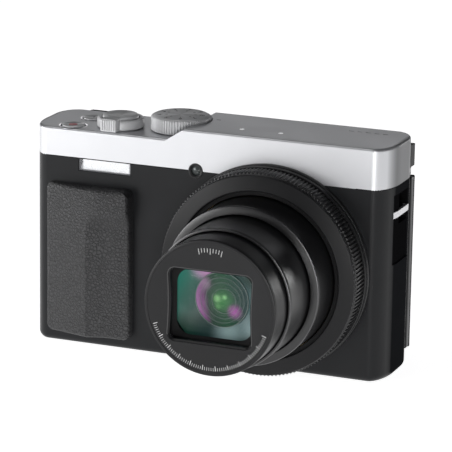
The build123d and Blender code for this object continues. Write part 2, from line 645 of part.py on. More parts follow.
def lens_housing():
    """The fixed tube with its collar, the control ring round it, and the bezel with its dust seal."""
    tube = lens_turned(
        (TUBE_BORE_R, TUBE_REAR_Y), (TUBE_R, TUBE_REAR_Y), (TUBE_R, BODY_FRONT_Y),
        (COLLAR_R, BODY_FRONT_Y), (COLLAR_R, COLLAR_FRONT_Y), (COLLAR_LIP_R, COLLAR_FRONT_Y),
        (COLLAR_LIP_R, FLANGE_FRONT_Y), (TUBE_R, FLANGE_FRONT_Y), (TUBE_R, BEZEL_REAR_Y),
        (TUBE_BORE_R, BEZEL_REAR_Y))
    node("lens_housing", tube)
    ring = lens_tube(TUBE_R + RUN_FIT, CONTROL_RING_R, RING_FRONT_Y, RING_REAR_Y)
    node("control_ring", ring)
    bezel = lens_turned(
        (BEZEL_BORE_R, BEZEL_REAR_Y), (BEZEL_R, BEZEL_REAR_Y), (BEZEL_R, BEZEL_REAR_Y - 0.2),
        (BEZEL_BORE_R, BEZEL_FRONT_Y))
    seal = lens_tube(OUTER_BARREL_R + MOVE_GAP, TUBE_BORE_R, BEZEL_REAR_Y, BEZEL_REAR_Y + SEAL_LENGTH)
    node("lens_bezel", bezel + seal)


def barrels():
    """The three nested barrels, drawn out, and the optical cells they carry."""
    outer_rear = OUTER_FRONT_Y + OUTER_BARREL_LENGTH
    outer = lens_tube(OUTER_BORE_R, OUTER_BARREL_R, OUTER_FRONT_Y, outer_rear)
    lip = lens_tube(MIDDLE_BARREL_R + MOVE_GAP, OUTER_BARREL_R, OUTER_FRONT_Y, OUTER_FRONT_Y + BARREL_LIP)
    node("outer_barrel", outer + lip)

    middle_rear = MIDDLE_FRONT_Y + MIDDLE_BARREL_LENGTH
    middle = lens_tube(MIDDLE_BORE_R, MIDDLE_BARREL_R, MIDDLE_FRONT_Y, middle_rear)
    heel = lens_tube(MIDDLE_BORE_R, OUTER_BORE_R - MOVE_GAP, middle_rear - 1.5, middle_rear)
    node("middle_barrel", middle + heel)

    tube = lens_tube(FRONT_BORE_R, FRONT_BARREL_R, FRONT_Y, FRONT_Y + FRONT_BARREL_LENGTH)
    plate = lens_disc(FRONT_BARREL_R, FRONT_Y, FRONT_PLATE_REAR_Y)
    front = (tube + plate) - window_opening(0, FRONT_Y - 1, FRONT_PLATE_REAR_Y + 1)
    node("front_barrel", front)

    retainer = lens_disc(FRONT_BORE_R, RETAINER_Y, FRONT_CELL_Y)
    retainer -= window_opening(0.4, RETAINER_Y - 1, FRONT_CELL_Y + 1)
    cell = lens_tube(FRONT_ELEMENT_R, FRONT_BORE_R, FRONT_CELL_Y, FRONT_CELL_Y + FRONT_CELL_LENGTH)
    node("front_cell", retainer + cell)
    node("front_element", lens_element(FRONT_ELEMENT_R, FRONT_CELL_Y + 0.5, FRONT_CELL_Y + 5.5, 2.6, 1.2))

    zoom_rear = ZOOM_CELL_Y + ZOOM_CELL_LENGTH
    zoom_cell = lens_tube(ZOOM_ELEMENT_R, MIDDLE_BORE_R, ZOOM_CELL_Y, zoom_rear)
    zoom_glass = lens_element(ZOOM_ELEMENT_R, ZOOM_CELL_Y + 0.2, zoom_rear - 0.2, 0.7, 0.5)
    node("zoom_group", Compound(children=[zoom_cell, zoom_glass]))


def crown_point(radius, crown):
    """How far a spherical face has fallen back at half its radius."""
    ball_r = (radius ** 2 + crown ** 2) / (2 * crown)
    return ball_r - (ball_r ** 2 - radius ** 2 / 4) ** 0.5


def lens_element(radius, y0, y1, front_crown, rear_crown):
    """A glass element whose two faces bulge by their crowns, kept between y0 and y1."""
    front_mid = (radius / 2, y0 + crown_point(radius, front_crown), 0)
    rear_mid = (radius / 2, y1 - crown_point(radius, rear_crown), 0)
    front = ThreePointArc((0, y0, 0), front_mid, (radius, y0 + front_crown, 0))
    rim = Line((radius, y0 + front_crown, 0), (radius, y1 - rear_crown, 0))
    rear = ThreePointArc((radius, y1 - rear_crown, 0), rear_mid, (0, y1, 0))
    axis_line = Line((0, y1, 0), (0, y0, 0))
    face = make_face([front, rim, rear, axis_line])
    return Pos(LENS_X, 0, LENS_Z) * revolve(face, Axis.Y, 360)


def barrier_blades():
    """Four blades, two above and two below the window, in two layers."""
    reach = FRONT_BORE_R - MOVE_GAP
    low = WINDOW_HEIGHT / 2 + 0.15
    layers = {"outer": BLADE_1_Y, "inner": BLADE_2_Y}
    for layer, y in layers.items():
        disc = lens_disc(reach, y, y + BLADE_THICKNESS)
        for side, sign in (("upper", 1), ("lower", -1)):
            z0 = LENS_Z + sign * low
            z1 = LENS_Z + sign * (low + BLADE_HEIGHT)
            strip = block(LENS_X - reach, LENS_X + reach, y - 1, y + 2, min(z0, z1), max(z0, z1))
            node(f"{side}_{layer}_blade", disc & strip)


def lens_base():
    """The base plate behind the lens, the focus group on its rods, and the image sensor."""
    plate = block(IDLER_X - 5.1, LENS_X + BASE_PLATE_REACH, BASE_PLATE_Y, BASE_REAR_Y,
                  BUSH_DEPTH + 0.6, LENS_Z + BASE_PLATE_TOP)
    gate_x, gate_z = BASE_GATE_WIDTH / 2, BASE_GATE_HEIGHT / 2
    plate -= block(LENS_X - gate_x, LENS_X + gate_x, BASE_PLATE_Y - 1, BASE_REAR_Y + 1,
                   LENS_Z - gate_z, LENS_Z + gate_z)
    for x in (LENS_X - POST_X, LENS_X + POST_X):
        for z in (LENS_Z - POST_Z, LENS_Z + POST_Z):
            plate += rod_y(x, z, POST_R, BODY_FRONT_Y + CASE_WALL, BASE_PLATE_Y)
    plate += rod_y(IDLER_X, IDLER_Z, AXLE_R, GEAR_FRONT_Y - 0.4, BASE_PLATE_Y)
    for side in (-1, 1):
        plate += rod_y(LENS_X + side * ROD_SPACING / 2, LENS_Z, ROD_R, FOCUS_Y - ROD_REACH, BASE_PLATE_Y)
    node("lens_base_plate", plate)

    cell = lens_tube(FOCUS_ELEMENT_R, FOCUS_CELL_R, FOCUS_Y, FOCUS_Y + FOCUS_LENGTH)
    for side in (-1, 1):
        x_in = LENS_X + side * (FOCUS_CELL_R - 0.6)
        x_out = LENS_X + side * (ROD_SPACING / 2 + FOCUS_ARM)
        cell += block(min(x_in, x_out), max(x_in, x_out), FOCUS_Y, FOCUS_Y + FOCUS_LENGTH,
                      LENS_Z - FOCUS_ARM, LENS_Z + FOCUS_ARM)
        cell -= rod_y(LENS_X + side * ROD_SPACING / 2, LENS_Z, ROD_R + RUN_FIT, FOCUS_Y - 1, 1)
    glass = lens_element(FOCUS_ELEMENT_R, FOCUS_Y + 0.1, FOCUS_Y + FOCUS_LENGTH - 0.1, 0.4, 0.3)
    node("focus_group", Compound(children=[cell, glass]))
    chip_w, chip_d, chip_h = SENSOR
    board_w, board_h = SENSOR_BOARD
    sensor = block(LENS_X - chip_w / 2, LENS_X + chip_w / 2, BASE_REAR_Y, BASE_REAR_Y + chip_d,
                   LENS_Z - chip_h / 2, LENS_Z + chip_h / 2)
    board = block(LENS_X - board_w / 2, LENS_X + board_w / 2, BASE_REAR_Y + chip_d, CHASSIS_Y0,
                  LENS_Z - board_h / 2, LENS_Z + board_h / 2)
    node("image_sensor", Compound(children=[sensor, board]))


def zoom_drive():
    """The cam ring with its gear, the idler, and the motor with its pinion."""
    sleeve = lens_tube(OUTER_BARREL_R + MOVE_GAP, TUBE_BORE_R - RUN_FIT,
                       BEZEL_REAR_Y + SEAL_LENGTH + 1.0, GEAR_REAR_Y)
    rim = gear(LENS_X, LENS_Z, CAM_TEETH, OUTER_BARREL_R + MOVE_GAP, pi, GEAR_FRONT_Y, GEAR_REAR_Y)
    node("cam_ring", sleeve + rim)
    idler_phase = pi / IDLER_TEETH
    node("idler_gear", gear(IDLER_X, IDLER_Z, IDLER_TEETH, AXLE_R + RUN_FIT, idler_phase,
                            GEAR_FRONT_Y, GEAR_REAR_Y))
    pinion_phase = -pi / 2
    pinion = gear(PINION_X, PINION_Z, PINION_TEETH, SHAFT_R / 2, pinion_phase, GEAR_FRONT_Y, GEAR_REAR_Y)
    motor_rear = GEAR_FRONT_Y - MOVE_GAP - 0.5
    pinion += rod_y(PINION_X, PINION_Z, SHAFT_R, motor_rear - MOTOR_SHAFT, GEAR_REAR_Y)
    node("motor_pinion", pinion)
    motor = rod_y(PINION_X, PINION_Z, MOTOR_R, BODY_FRONT_Y + CASE_WALL, motor_rear)
    shaft_hole = rod_y(PINION_X, PINION_Z, SHAFT_R + RUN_FIT, motor_rear - MOTOR_SHAFT - 0.4, motor_rear + 1)
    node("zoom_motor", motor - shaft_hole)


# ---------------------------------------------------------------- controls on top

def top_controls():
    """The shutter button, the zoom lever round it, the mode dial and the two round buttons."""
    deck = LOW_TOP_Z + MOVE_GAP
    neck_r = SHUTTER_R + LEVER_NECK_GAP
    bore_r = neck_r - LEVER_NECK_WALL
    lever = rod_z(SHUTTER_X, SHUTTER_Y, LEVER_R, deck, LOW_TOP_Z + LEVER_RISE)
    lever -= rod_z(SHUTTER_X, SHUTTER_Y, SHUTTER_R + MOVE_GAP, deck + LEVER_FLOOR,
                   LOW_TOP_Z + LEVER_TAB_RISE + 1)
    tab = block(SHUTTER_X - LEVER_TAB_WIDTH / 2, SHUTTER_X + LEVER_TAB_WIDTH / 2,
                SHUTTER_Y - LEVER_TAB_REACH, SHUTTER_Y - SHUTTER_R - 0.8, deck, LOW_TOP_Z + LEVER_TAB_RISE)
    lever += fillet(tab.edges().filter_by(Axis.Z), 0.6)
    lever += rod_z(SHUTTER_X, SHUTTER_Y, neck_r, LOW_ROOF_Z - 1.0, deck)
    lever += rod_z(SHUTTER_X, SHUTTER_Y, neck_r + NECK_CLIP, LOW_ROOF_Z - 1.0, LOW_ROOF_Z - MOVE_GAP)
    lever -= rod_z(SHUTTER_X, SHUTTER_Y, bore_r, LOW_ROOF_Z - 2, deck + 1)
    node("zoom_lever", lever)

    top_z = LOW_TOP_Z + SHUTTER_RISE
    cap = rod_z(SHUTTER_X, SHUTTER_Y, SHUTTER_R, top_z - SHUTTER_CAP, top_z)
    cap = fillet(cap.edges().group_by(Axis.Z)[-1], 0.5)
    stem_z = LOW_TOP_Z - SHAFT_DROP + 0.6
    node("shutter_button", cap + rod_z(SHUTTER_X, SHUTTER_Y, SHUTTER_STEM_R, stem_z, top_z - 1))

    dial = rod_z(DIAL_X, DIAL_Y, DIAL_R, deck, DIAL_TOP_Z)
    dial = fillet(dial.edges().group_by(Axis.Z)[-1], 0.5)
    dial += rod_z(DIAL_X, DIAL_Y, DIAL_NECK_R, LOW_TOP_Z - SHAFT_DROP, deck)
    dial += rod_z(DIAL_X, DIAL_Y, DIAL_NECK_R + NECK_CLIP, LOW_TOP_Z - SHAFT_DROP, LOW_ROOF_Z - MOVE_GAP)
    node("mode_dial", dial)

    for name, x, y, radius in (("record_button", RECORD_X, RECORD_Y, RECORD_R),
                               ("power_button", POWER_X, POWER_Y, POWER_R)):
        cap = rod_z(x, y, radius, LOW_TOP_Z - CAP_RECESS / 2, LOW_TOP_Z + CAP_RISE)
        cap += rod_z(x, y, radius - CAP_LEDGE, LOW_ROOF_Z - 1.1, LOW_TOP_Z)
        cap += rod_z(x, y, radius - CAP_LEDGE / 2, LOW_ROOF_Z - 1.1, LOW_ROOF_Z - MOVE_GAP)
        node(name, cap)


# ---------------------------------------------------------------- rear

def rear_button(x, z, radius, wall_y, rise):
    """A round push button whose inner flange keeps it behind the rear wall."""
    flange_rear = wall_y - MOVE_GAP
    flange_front = flange_rear - REAR_BUTTON_FLANGE_DEPTH
    cap = rod_y(x, z, radius, flange_front, BODY_REAR_Y + rise)
    cap = fillet(cap.edges().group_by(Axis.Y)[-1], 0.3)
    return cap + rod_y(x, z, radius + REAR_BUTTON_FLANGE, flange_front, flange_rear)


def rear_controls():
    """The thumb rest, the rear dial with its centre button, and the rear push buttons."""
    rest = block(THUMB_X0, THUMB_X1, BODY_REAR_Y, BODY_REAR_Y + THUMB_DEPTH, THUMB_Z0, THUMB_Z1)
    rest = fillet(rest.edges().group_by(Axis.Y)[-1], THUMB_EDGE_R)
    node("thumb_rest", rest)
    dial_y = BODY_REAR_Y + MOVE_GAP
    dial = rod_y(REAR_DIAL_X, REAR_DIAL_Z, REAR_DIAL_R, dial_y, dial_y + REAR_DIAL_THICKNESS)
    dial = fillet(dial.edges().group_by(Axis.Y)[-1], 0.4)
    bore_r = SET_BUTTON_R + SET_BOSS_WALL + RUN_FIT
    dial -= rod_y(REAR_DIAL_X, REAR_DIAL_Z, bore_r, dial_y - 1, dial_y + REAR_DIAL_THICKNESS + 1)
    node("rear_dial", dial)
    node("set_button", rear_button(REAR_DIAL_X, REAR_DIAL_Z, SET_BUTTON_R, REAR_WALL_Y, SET_BUTTON_RISE))
    for name, (x, z) in REAR_BUTTONS.items():
        node(name, rear_button(x, z, REAR_BUTTON_R, REAR_WALL_Y, REAR_BUTTON_RISE))
    node("finder_button", rear_button(FINDER_BUTTON_X, SPLIT_Z + FINDER_BUTTON_RISE, REAR_BUTTON_R,
                                      BODY_REAR_Y - COVER_WALL, REAR_BUTTON_RISE))


def monitor():
    """The flip-up monitor, the plate it slides on, and the plate's pin and brackets."""
    frame = block(MONITOR_X0, MONITOR_X1, MONITOR_Y0, MONITOR_Y1, MONITOR_Z0, MONITOR_Z1)
    frame = fillet(frame.edges().filter_by(Axis.Y), MONITOR_CORNER_R)
    inner = (MONITOR_X0 + MONITOR_RIM, MONITOR_X1 - MONITOR_RIM)
    frame -= block(*inner, MONITOR_Y1 - MONITOR_GLASS, MONITOR_Y1 + 1,
                   MONITOR_Z0 + MONITOR_RIM, MONITOR_Z1 - MONITOR_RIM)
    node("monitor_frame", frame)
    gap = SEAT_GAP
    glass = block(inner[0] + gap, inner[1] - gap, MONITOR_Y1 - MONITOR_GLASS, MONITOR_Y1 - 0.1,
                  MONITOR_Z0 + MONITOR_RIM + gap, MONITOR_Z1 - MONITOR_RIM - gap)
    node("monitor_glass", glass)

    plate = block(KNUCKLE_X0, KNUCKLE_X1, PLATE_Y0, PLATE_Y1, HINGE_AXIS_Z - HINGE_PLATE_LENGTH, HINGE_AXIS_Z)
    plate -= block(KNUCKLE_X0 + PLATE_WINDOW_SIDE, KNUCKLE_X1 - PLATE_WINDOW_SIDE, PLATE_Y0 - 1, PLATE_Y1 + 1,
                   HINGE_AXIS_Z - HINGE_PLATE_LENGTH + PLATE_WINDOW_FOOT, HINGE_AXIS_Z - PLATE_WINDOW_TOP)
    plate += block(KNUCKLE_X0, KNUCKLE_X1, PLATE_Y0, HINGE_AXIS_Y,
                   HINGE_AXIS_Z - HINGE_PLATE / 2, HINGE_AXIS_Z + HINGE_PLATE / 2)
    plate += rod_x(HINGE_AXIS_Y, HINGE_AXIS_Z, HINGE_KNUCKLE_R, KNUCKLE_X0, KNUCKLE_X1)
    plate -= rod_x(HINGE_AXIS_Y, HINGE_AXIS_Z, HINGE_PIN_R + RUN_FIT, KNUCKLE_X0 - 1, KNUCKLE_X1 + 1)
    node("monitor_hinge_plate", plate)


def finder():
    """The eye-level finder: its module in the raised top, the eyepiece frame, lens and diopter dial."""
    half_w = EYEPIECE_WIDTH / 2
    mid_z = (FINDER_Z0 + FINDER_Z1) / 2
    frame = block(FINDER_X0, FINDER_X1, BODY_REAR_Y, FINDER_REAR_Y, FINDER_Z0, FINDER_Z1)
    frame = fillet(frame.edges().group_by(Axis.Y)[-1], 0.9)
    frame -= block(EYEPIECE_X - half_w, EYEPIECE_X + half_w, BODY_REAR_Y - 1, FINDER_REAR_Y + 1,
                   mid_z - EYEPIECE_HEIGHT / 2, mid_z + EYEPIECE_HEIGHT / 2)
    pocket_y = FINDER_REAR_Y - DIOPTER_POCKET
    frame -= rod_y(DIOPTER_X, mid_z, DIOPTER_R + MOVE_GAP, pocket_y, FINDER_REAR_Y + 1)
    frame -= rod_y(DIOPTER_X, mid_z, AXLE_R + RUN_FIT, BODY_REAR_Y + 1, FINDER_REAR_Y)
    node("finder_eyepiece", frame)
    glass_y = BODY_REAR_Y + 1.2
    lens = block(EYEPIECE_X - half_w, EYEPIECE_X + half_w, glass_y, glass_y + EYEPIECE_GLASS,
                 mid_z - EYEPIECE_HEIGHT / 2, mid_z + EYEPIECE_HEIGHT / 2)
    node("eyepiece_lens", lens)
    knob = rod_y(DIOPTER_X, mid_z, DIOPTER_R, pocket_y + MOVE_GAP, FINDER_REAR_Y - 0.1)
    knob += rod_y(DIOPTER_X, mid_z, AXLE_R, BODY_REAR_Y + 1.3, pocket_y + 1)
    node("diopter_dial", knob)
    module_z = (SPLIT_Z + FINDER_MODULE_GAP, BODY_HEIGHT - COVER_WALL - FINDER_MODULE_GAP)
    node("finder_module", block(FINDER_X0 + 2, X_RIGHT - REAR_CORNER_WIDTH, FINDER_MODULE_Y0,
                                BODY_REAR_Y - COVER_WALL, *module_z))


# ---------------------------------------------------------------- battery side and bottom

def power_parts():
    """The battery and card in their box, and the hinged door with its latch."""
    gap = BATTERY_GAP
    box = block(BOX_X0, BOX_X1, BOX_Y0, BOX_Y1, BOX_Z0, BOX_Z1)
    box -= block(BATTERY_X0 - gap, BATTERY_X1 + gap, BATTERY_Y0 - gap, BATTERY_Y1 + gap,
                 BOX_Z0 - 1, BATTERY_Z1 + gap)
    box -= block(CARD_X0 - gap, CARD_X0 + CARD_WIDTH + gap, CARD_Y0 - gap / 2, CARD_Y1 + gap,
                 BOX_Z0 - 1, BATTERY_Z0 + CARD_HEIGHT + gap)
    node("battery_box", box)
    battery = block(BATTERY_X0, BATTERY_X1, BATTERY_Y0, BATTERY_Y1, BATTERY_Z0, BATTERY_Z1)
    node("battery", fillet(battery.edges().filter_by(Axis.Z), 1.0))
    card = block(CARD_X0, CARD_X0 + CARD_WIDTH, CARD_Y0, CARD_Y1, BATTERY_Z0, BATTERY_Z0 + CARD_HEIGHT)
    node("memory_card", card)

    axis_z = DOOR_KNUCKLE_R
    door = block(DOOR_AXIS_X, DOOR_X1, DOOR_Y0, DOOR_Y1, 0, DOOR_THICKNESS)
    door += rod_y(DOOR_AXIS_X, axis_z, DOOR_KNUCKLE_R, DOOR_Y0, DOOR_Y1)
    door -= rod_y(DOOR_AXIS_X, axis_z, DOOR_PIN_R + RUN_FIT, DOOR_Y0 - 1, DOOR_Y1 + 1)
    latch_x1 = DOOR_X1 - 2.0
    latch_x0 = latch_x1 - LATCH_LENGTH
    latch_y = (DOOR_Y0 + DOOR_Y1) / 2
    door -= block(latch_x0 - LATCH_TRAVEL - MOVE_GAP, latch_x1 + MOVE_GAP,
                  latch_y - LATCH_WIDTH / 2 - MOVE_GAP, latch_y + LATCH_WIDTH / 2 + MOVE_GAP,
                  -1, LATCH_THICKNESS + 0.2)
    node("battery_door", door)
    latch = block(latch_x0, latch_x1, latch_y - LATCH_WIDTH / 2, latch_y + LATCH_WIDTH / 2,
                  0, LATCH_THICKNESS)
    node("door_latch", latch)


def side_parts():
    """The strap lug with its bar, and the cover over the sockets on the grip side."""
    lug = block(LUG_FACE_X - LUG_DEPTH, X_RIGHT, LUG_Y0, LUG_Y1, LUG_Z0, LUG_Z1)
    lug &= body_prism(LUG_RECESS, LUG_Z0, LUG_Z1)
    lug -= block(LUG_FACE_X - LUG_POCKET_DEPTH, X_RIGHT + 1, LUG_POCKET_Y0, LUG_POCKET_Y1,
                 LUG_POCKET_Z0, LUG_POCKET_Z1)
    node("strap_lug", lug + strap_bar())

    leaf = block(X_LEFT, X_LEFT + PORT_DOOR, PORT_Y0, PORT_AXIS_Y, PORT_Z0, PORT_Z1)
    leaf &= body_prism(0, PORT_Z0, PORT_Z1)
    knuckle = rod_z(PORT_AXIS_X, PORT_AXIS_Y, PORT_DOOR / 2, PORT_Z0, PORT_Z1)
    leaf = (leaf + knuckle) - rod_z(PORT_AXIS_X, PORT_AXIS_Y, PORT_PIN_R + RUN_FIT, PORT_Z0 - 1, PORT_Z1 + 1)
    node("port_cover", leaf)
    inner_x = X_LEFT + PORT_DOOR + 0.6
    sockets = []
    y0, y1 = PORT_Y0 + 0.6, PORT_Y1 - 1.6
    wall = SOCKET_WALL
    for z in (PORT_Z0 + SOCKET_END, PORT_Z1 - SOCKET_END):
        z0, z1 = z - SOCKET_HEIGHT / 2, z + SOCKET_HEIGHT / 2
        shell = block(inner_x, inner_x + SOCKET_DEPTH, y0, y1, z0, z1)
        mouth = block(inner_x - 1, inner_x + SOCKET_DEPTH - 1, y0 + wall, y1 - wall, z0 + wall, z1 - wall)
        sockets.append(shell - mouth)
    node("data_sockets", Compound(children=sockets))


def strap_bar():
    """The metal bar that a wrist strap loops round, following the body's flank."""
    z0 = LUG_BAR_Z - LUG_BAR / 2
    z1 = LUG_BAR_Z + LUG_BAR / 2
    bar = body_prism(0, z0, z1) - body_prism(LUG_BAR_THICKNESS, z0 - 1, z1 + 1)
    return bar & block(LUG_FACE_X - LUG_DEPTH, X_RIGHT + 1, LUG_Y0, LUG_Y1, z0, z1)


def bottom_fittings():
    """The tripod bush and the screws in the bottom face."""
    bush = rod_z(0, 0, BUSH_R, 0, BUSH_DEPTH)
    bush += rod_z(0, 0, BUSH_FLANGE_R, CASE_WALL, CASE_WALL + 1.5)
    node("tripod_bush", bush - rod_z(0, 0, BUSH_BORE_R, -1, BUSH_DEPTH - 1))
    screws = []
    for x, y in SCREW_SPOTS:
        head = rod_z(x, y, SCREW_HEAD_R, 0.1, SCREW_HEAD)
        shank = rod_z(x, y, SCREW_R, 0.1, SCREW_LENGTH)
        long, short = SCREW_SLOT_REACH, SCREW_SLOT_WIDTH / 2
        slot = block(x - long, x + long, y - short, y + short, 0, SCREW_SLOT_DEPTH)
        slot += block(x - short, x + short, y - long, y + long, 0, SCREW_SLOT_DEPTH)
        screws.append(head + shank - slot)
    node("casing_screws", Compound(children=screws))


def electronics():
    """The chassis plate and the circuit boards."""
    side_x = X_RIGHT - CHASSIS_SIDE
    plate = block(IDLER_X - 2.5, side_x, CHASSIS_Y0, CHASSIS_Y1, BUSH_DEPTH + 0.6, SPLIT_Z - 1)
    plate += block(side_x, X_RIGHT - CASE_WALL - MOVE_GAP, CHASSIS_Y0, CHASSIS_Y1, *CHASSIS_TAB)
    for x in (IDLER_X + 3, X_RIGHT - 10):
        for z in (BUSH_DEPTH + 2.5, SPLIT_Z - 7):
            plate += rod_y(x, z, STANDOFF_R, CHASSIS_Y1, BOARD_Y0)
    node("main_chassis", plate)
    board = block(IDLER_X - 2, X_RIGHT - 4, BOARD_Y0, BOARD_Y1, 5, SPLIT_Z - 2)
    for x, z, size in CHIPS:
        board += block(x, x + size, BOARD_Y1, BOARD_Y1 + CHIP_HEIGHT, z, z + size)
    key_board = block(BOX_X0, BOX_X1, BOX_Y1, BOX_Y1 + BOARD, 5, BOX_Z1)
    top_board = block(BOX_X0 + 1.5, BOX_X1 - 3, BODY_FRONT_Y + 3, BODY_REAR_Y - 3,
                      SPLIT_Z + 1.0, SPLIT_Z + 1.0 + BOARD)
    node("circuit_boards", Compound(children=[board, key_board, top_board]))


casings()
top_cover()
front_fittings()
lens_housing()
barrels()
barrier_blades()
lens_base()
zoom_drive()
top_controls()
rear_controls()
monitor()
finder()
power_parts()
side_parts()
bottom_fittings()
electronics()

os.makedirs("parts", exist_ok=True)
for name, shape in NODES.items():
    export_step(shape, f"parts/{name}.step")
print(len(NODES), "pieces")
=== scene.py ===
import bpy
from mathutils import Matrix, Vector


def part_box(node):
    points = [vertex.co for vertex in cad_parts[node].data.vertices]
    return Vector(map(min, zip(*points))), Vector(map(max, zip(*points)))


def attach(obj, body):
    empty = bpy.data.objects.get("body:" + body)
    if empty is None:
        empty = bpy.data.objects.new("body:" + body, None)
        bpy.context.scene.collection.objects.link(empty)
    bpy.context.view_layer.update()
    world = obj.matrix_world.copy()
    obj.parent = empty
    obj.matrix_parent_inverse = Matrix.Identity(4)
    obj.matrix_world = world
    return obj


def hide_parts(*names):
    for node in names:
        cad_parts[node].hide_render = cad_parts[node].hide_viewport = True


bl_info = {
    "name": "Compact Zoom Camera",
    "version": (1, 0, 0),
    "blender": (4, 5, 0),
    "location": "View3D > Sidebar > Camera",
    "description": "Builds the skins, glass, rubber and finishes of a compact zoom camera round its frame",
    "category": "Add Mesh",
}

from math import cos, hypot, pi, radians, sin

import bmesh
import bpy
from bpy.props import FloatProperty, FloatVectorProperty, IntProperty, PointerProperty
from mathutils import Matrix, Vector, noise

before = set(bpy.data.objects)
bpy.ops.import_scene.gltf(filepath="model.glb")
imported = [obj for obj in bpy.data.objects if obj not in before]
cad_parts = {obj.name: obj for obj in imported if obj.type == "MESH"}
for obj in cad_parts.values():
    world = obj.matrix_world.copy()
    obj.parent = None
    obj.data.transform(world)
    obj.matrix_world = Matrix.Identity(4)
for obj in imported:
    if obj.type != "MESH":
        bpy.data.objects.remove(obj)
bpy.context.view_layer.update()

MM = 0.001
ROOT = "camera_body"
SHARP = radians(35)


# ---------------------------------------------------------------- places, in millimetres

def box_mm(node):
    """Lowest and highest corner of a frame node, in millimetres."""
    low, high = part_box(node)
    return Vector(low) / MM, Vector(high) / MM


def middle(node):
    """The middle of a frame node's box, in millimetres."""
    low, high = box_mm(node)
    return (low + high) / 2


def radius_of(name):
    """Half of a round piece's width."""
    low, high = box_mm(name)
    return (high.x - low.x) / 2


LENS = middle("control_ring")
LENS.y = 0
BODY_LOW, BODY_HIGH = box_mm("front_casing")
COVER_LOW, COVER_HIGH = box_mm("top_cover")
FRONT_Y = BODY_LOW.y
REAR_Y = COVER_HIGH.y
SPLIT_Z = COVER_LOW.z
TOP_Z = COVER_HIGH.z
DIAL_LOW, DIAL_HIGH = box_mm("mode_dial")
DIAL = middle("mode_dial")
SHUTTER = middle("shutter_button")
SHUTTER_TOP = box_mm("shutter_button")[1].z
RECORD = middle("record_button")
POWER = middle("power_button")
BUTTON_TOP = box_mm("record_button")[1].z
LEVER_LOW, LEVER_HIGH = box_mm("zoom_lever")
DECK_Z = BUTTON_TOP - 0.5


# ---------------------------------------------------------------- settings

class BodySettings(bpy.types.PropertyGroup):
    """Sizes and colours of the casings, the cover and the grip."""
    black: FloatVectorProperty(name="Casing black", description="Paint of the front and rear casings",
                               default=(0.0135, 0.014, 0.0155), subtype="COLOR", size=3)
    silver: FloatVectorProperty(name="Cover silver", description="Paint of the top cover",
                                default=(0.68, 0.685, 0.705), subtype="COLOR", size=3)
    rubber: FloatVectorProperty(name="Grip rubber", description="Colour of the moulded grip",
                                default=(0.034, 0.034, 0.036), subtype="COLOR", size=3)
    grip_corner: FloatProperty(name="Grip corner", description="Corner radius of the grip pad's outline",
                               default=2.4, min=0.5, max=5.0, unit="NONE")
    grip_pebble: FloatProperty(name="Pebble height", description="Height of the leather-like pebbles",
                               default=0.10, min=0.0, max=0.3, unit="NONE")
    front_corner: FloatVectorProperty(name="Front corner", description="Width and depth of the front corners",
                                      default=(5.3, 10.5), size=2)
    rear_corner: FloatVectorProperty(name="Rear corner", description="Width and depth of the rear corners",
                                     default=(6.0, 8.0), size=2)


class LensSettings(bpy.types.PropertyGroup):
    """Sizes of the lens rings and barrels."""
    ring_teeth: IntProperty(name="Ring teeth", description="Fine ribs round the control ring",
                            default=160, min=24, max=240)
    tooth_depth: FloatProperty(name="Tooth depth", description="Depth of the control ring's ribs",
                               default=0.42, min=0.1, max=1.0, unit="NONE")
    barrel_black: FloatVectorProperty(name="Barrel black", description="Lacquer of the barrels",
                                      default=(0.0085, 0.0085, 0.0095), subtype="COLOR", size=3)
    segments: IntProperty(name="Round segments", description="Faces round each turned piece",
                          default=144, min=32, max=256)


class ControlSettings(bpy.types.PropertyGroup):
    """Sizes of the controls on the top and the rear."""
    dial_ribs: IntProperty(name="Dial ribs", description="Ribs round the mode dial", default=66,
                           min=20, max=120)
    metal: FloatVectorProperty(name="Dial metal", description="Turned metal of the top controls",
                               default=(0.86, 0.865, 0.88), subtype="COLOR", size=3)
    mark: FloatVectorProperty(name="Dial marks", description="Paint of the dial's numbers",
                              default=(0.03, 0.03, 0.035), subtype="COLOR", size=3)
    record_dot: FloatVectorProperty(name="Record dot", description="Paint in the record button's dish",
                                    default=(0.55, 0.02, 0.03), subtype="COLOR", size=3)


class StageSettings(bpy.types.PropertyGroup):
    """The camera's place and the studio light."""
    azimuth: FloatProperty(name="Azimuth", description="Camera's turn round the object, in degrees",
                           default=21.70, unit="NONE")
    elevation: FloatProperty(name="Elevation", description="Camera's height over the horizon, in degrees",
                             default=15.06, unit="NONE")
    roll: FloatProperty(name="Roll", description="Camera's roll, in degrees", default=0.88, unit="NONE")
    distance: FloatProperty(name="Distance", description="Camera to target, in metres",
                            default=0.84177, unit="LENGTH")
    focal_length: FloatProperty(name="Focal length", description="Lens of the camera, in millimetres",
                                default=231.25, min=50.0, max=500.0, unit="NONE")
    target: FloatVectorProperty(name="Target", description="The point looked at",
                                default=(0.00674, -0.013, 0.04181), subtype="XYZ", size=3)
    floor: FloatVectorProperty(name="Floor", description="Colour of the floor",
                               default=(1.0, 1.0, 1.0), subtype="COLOR", size=3)


SETTINGS = (BodySettings, LensSettings, ControlSettings, StageSettings)


# ---------------------------------------------------------------- materials

def new_material(name):
    """An empty node material with its principled shader."""
    made = bpy.data.materials.new(name)
    made.use_nodes = True
    return made, made.node_tree, made.node_tree.nodes["Principled BSDF"]


def socket_values(shader, **values):
    """Sets constants on the shader's own sockets; underscores stand for spaces."""
    for name, value in values.items():
        socket = shader.inputs[name.replace("_", " ")]
        if hasattr(socket.default_value, "__len__") and len(value) == 3:
            value = (*value, 1.0)
        socket.default_value = value


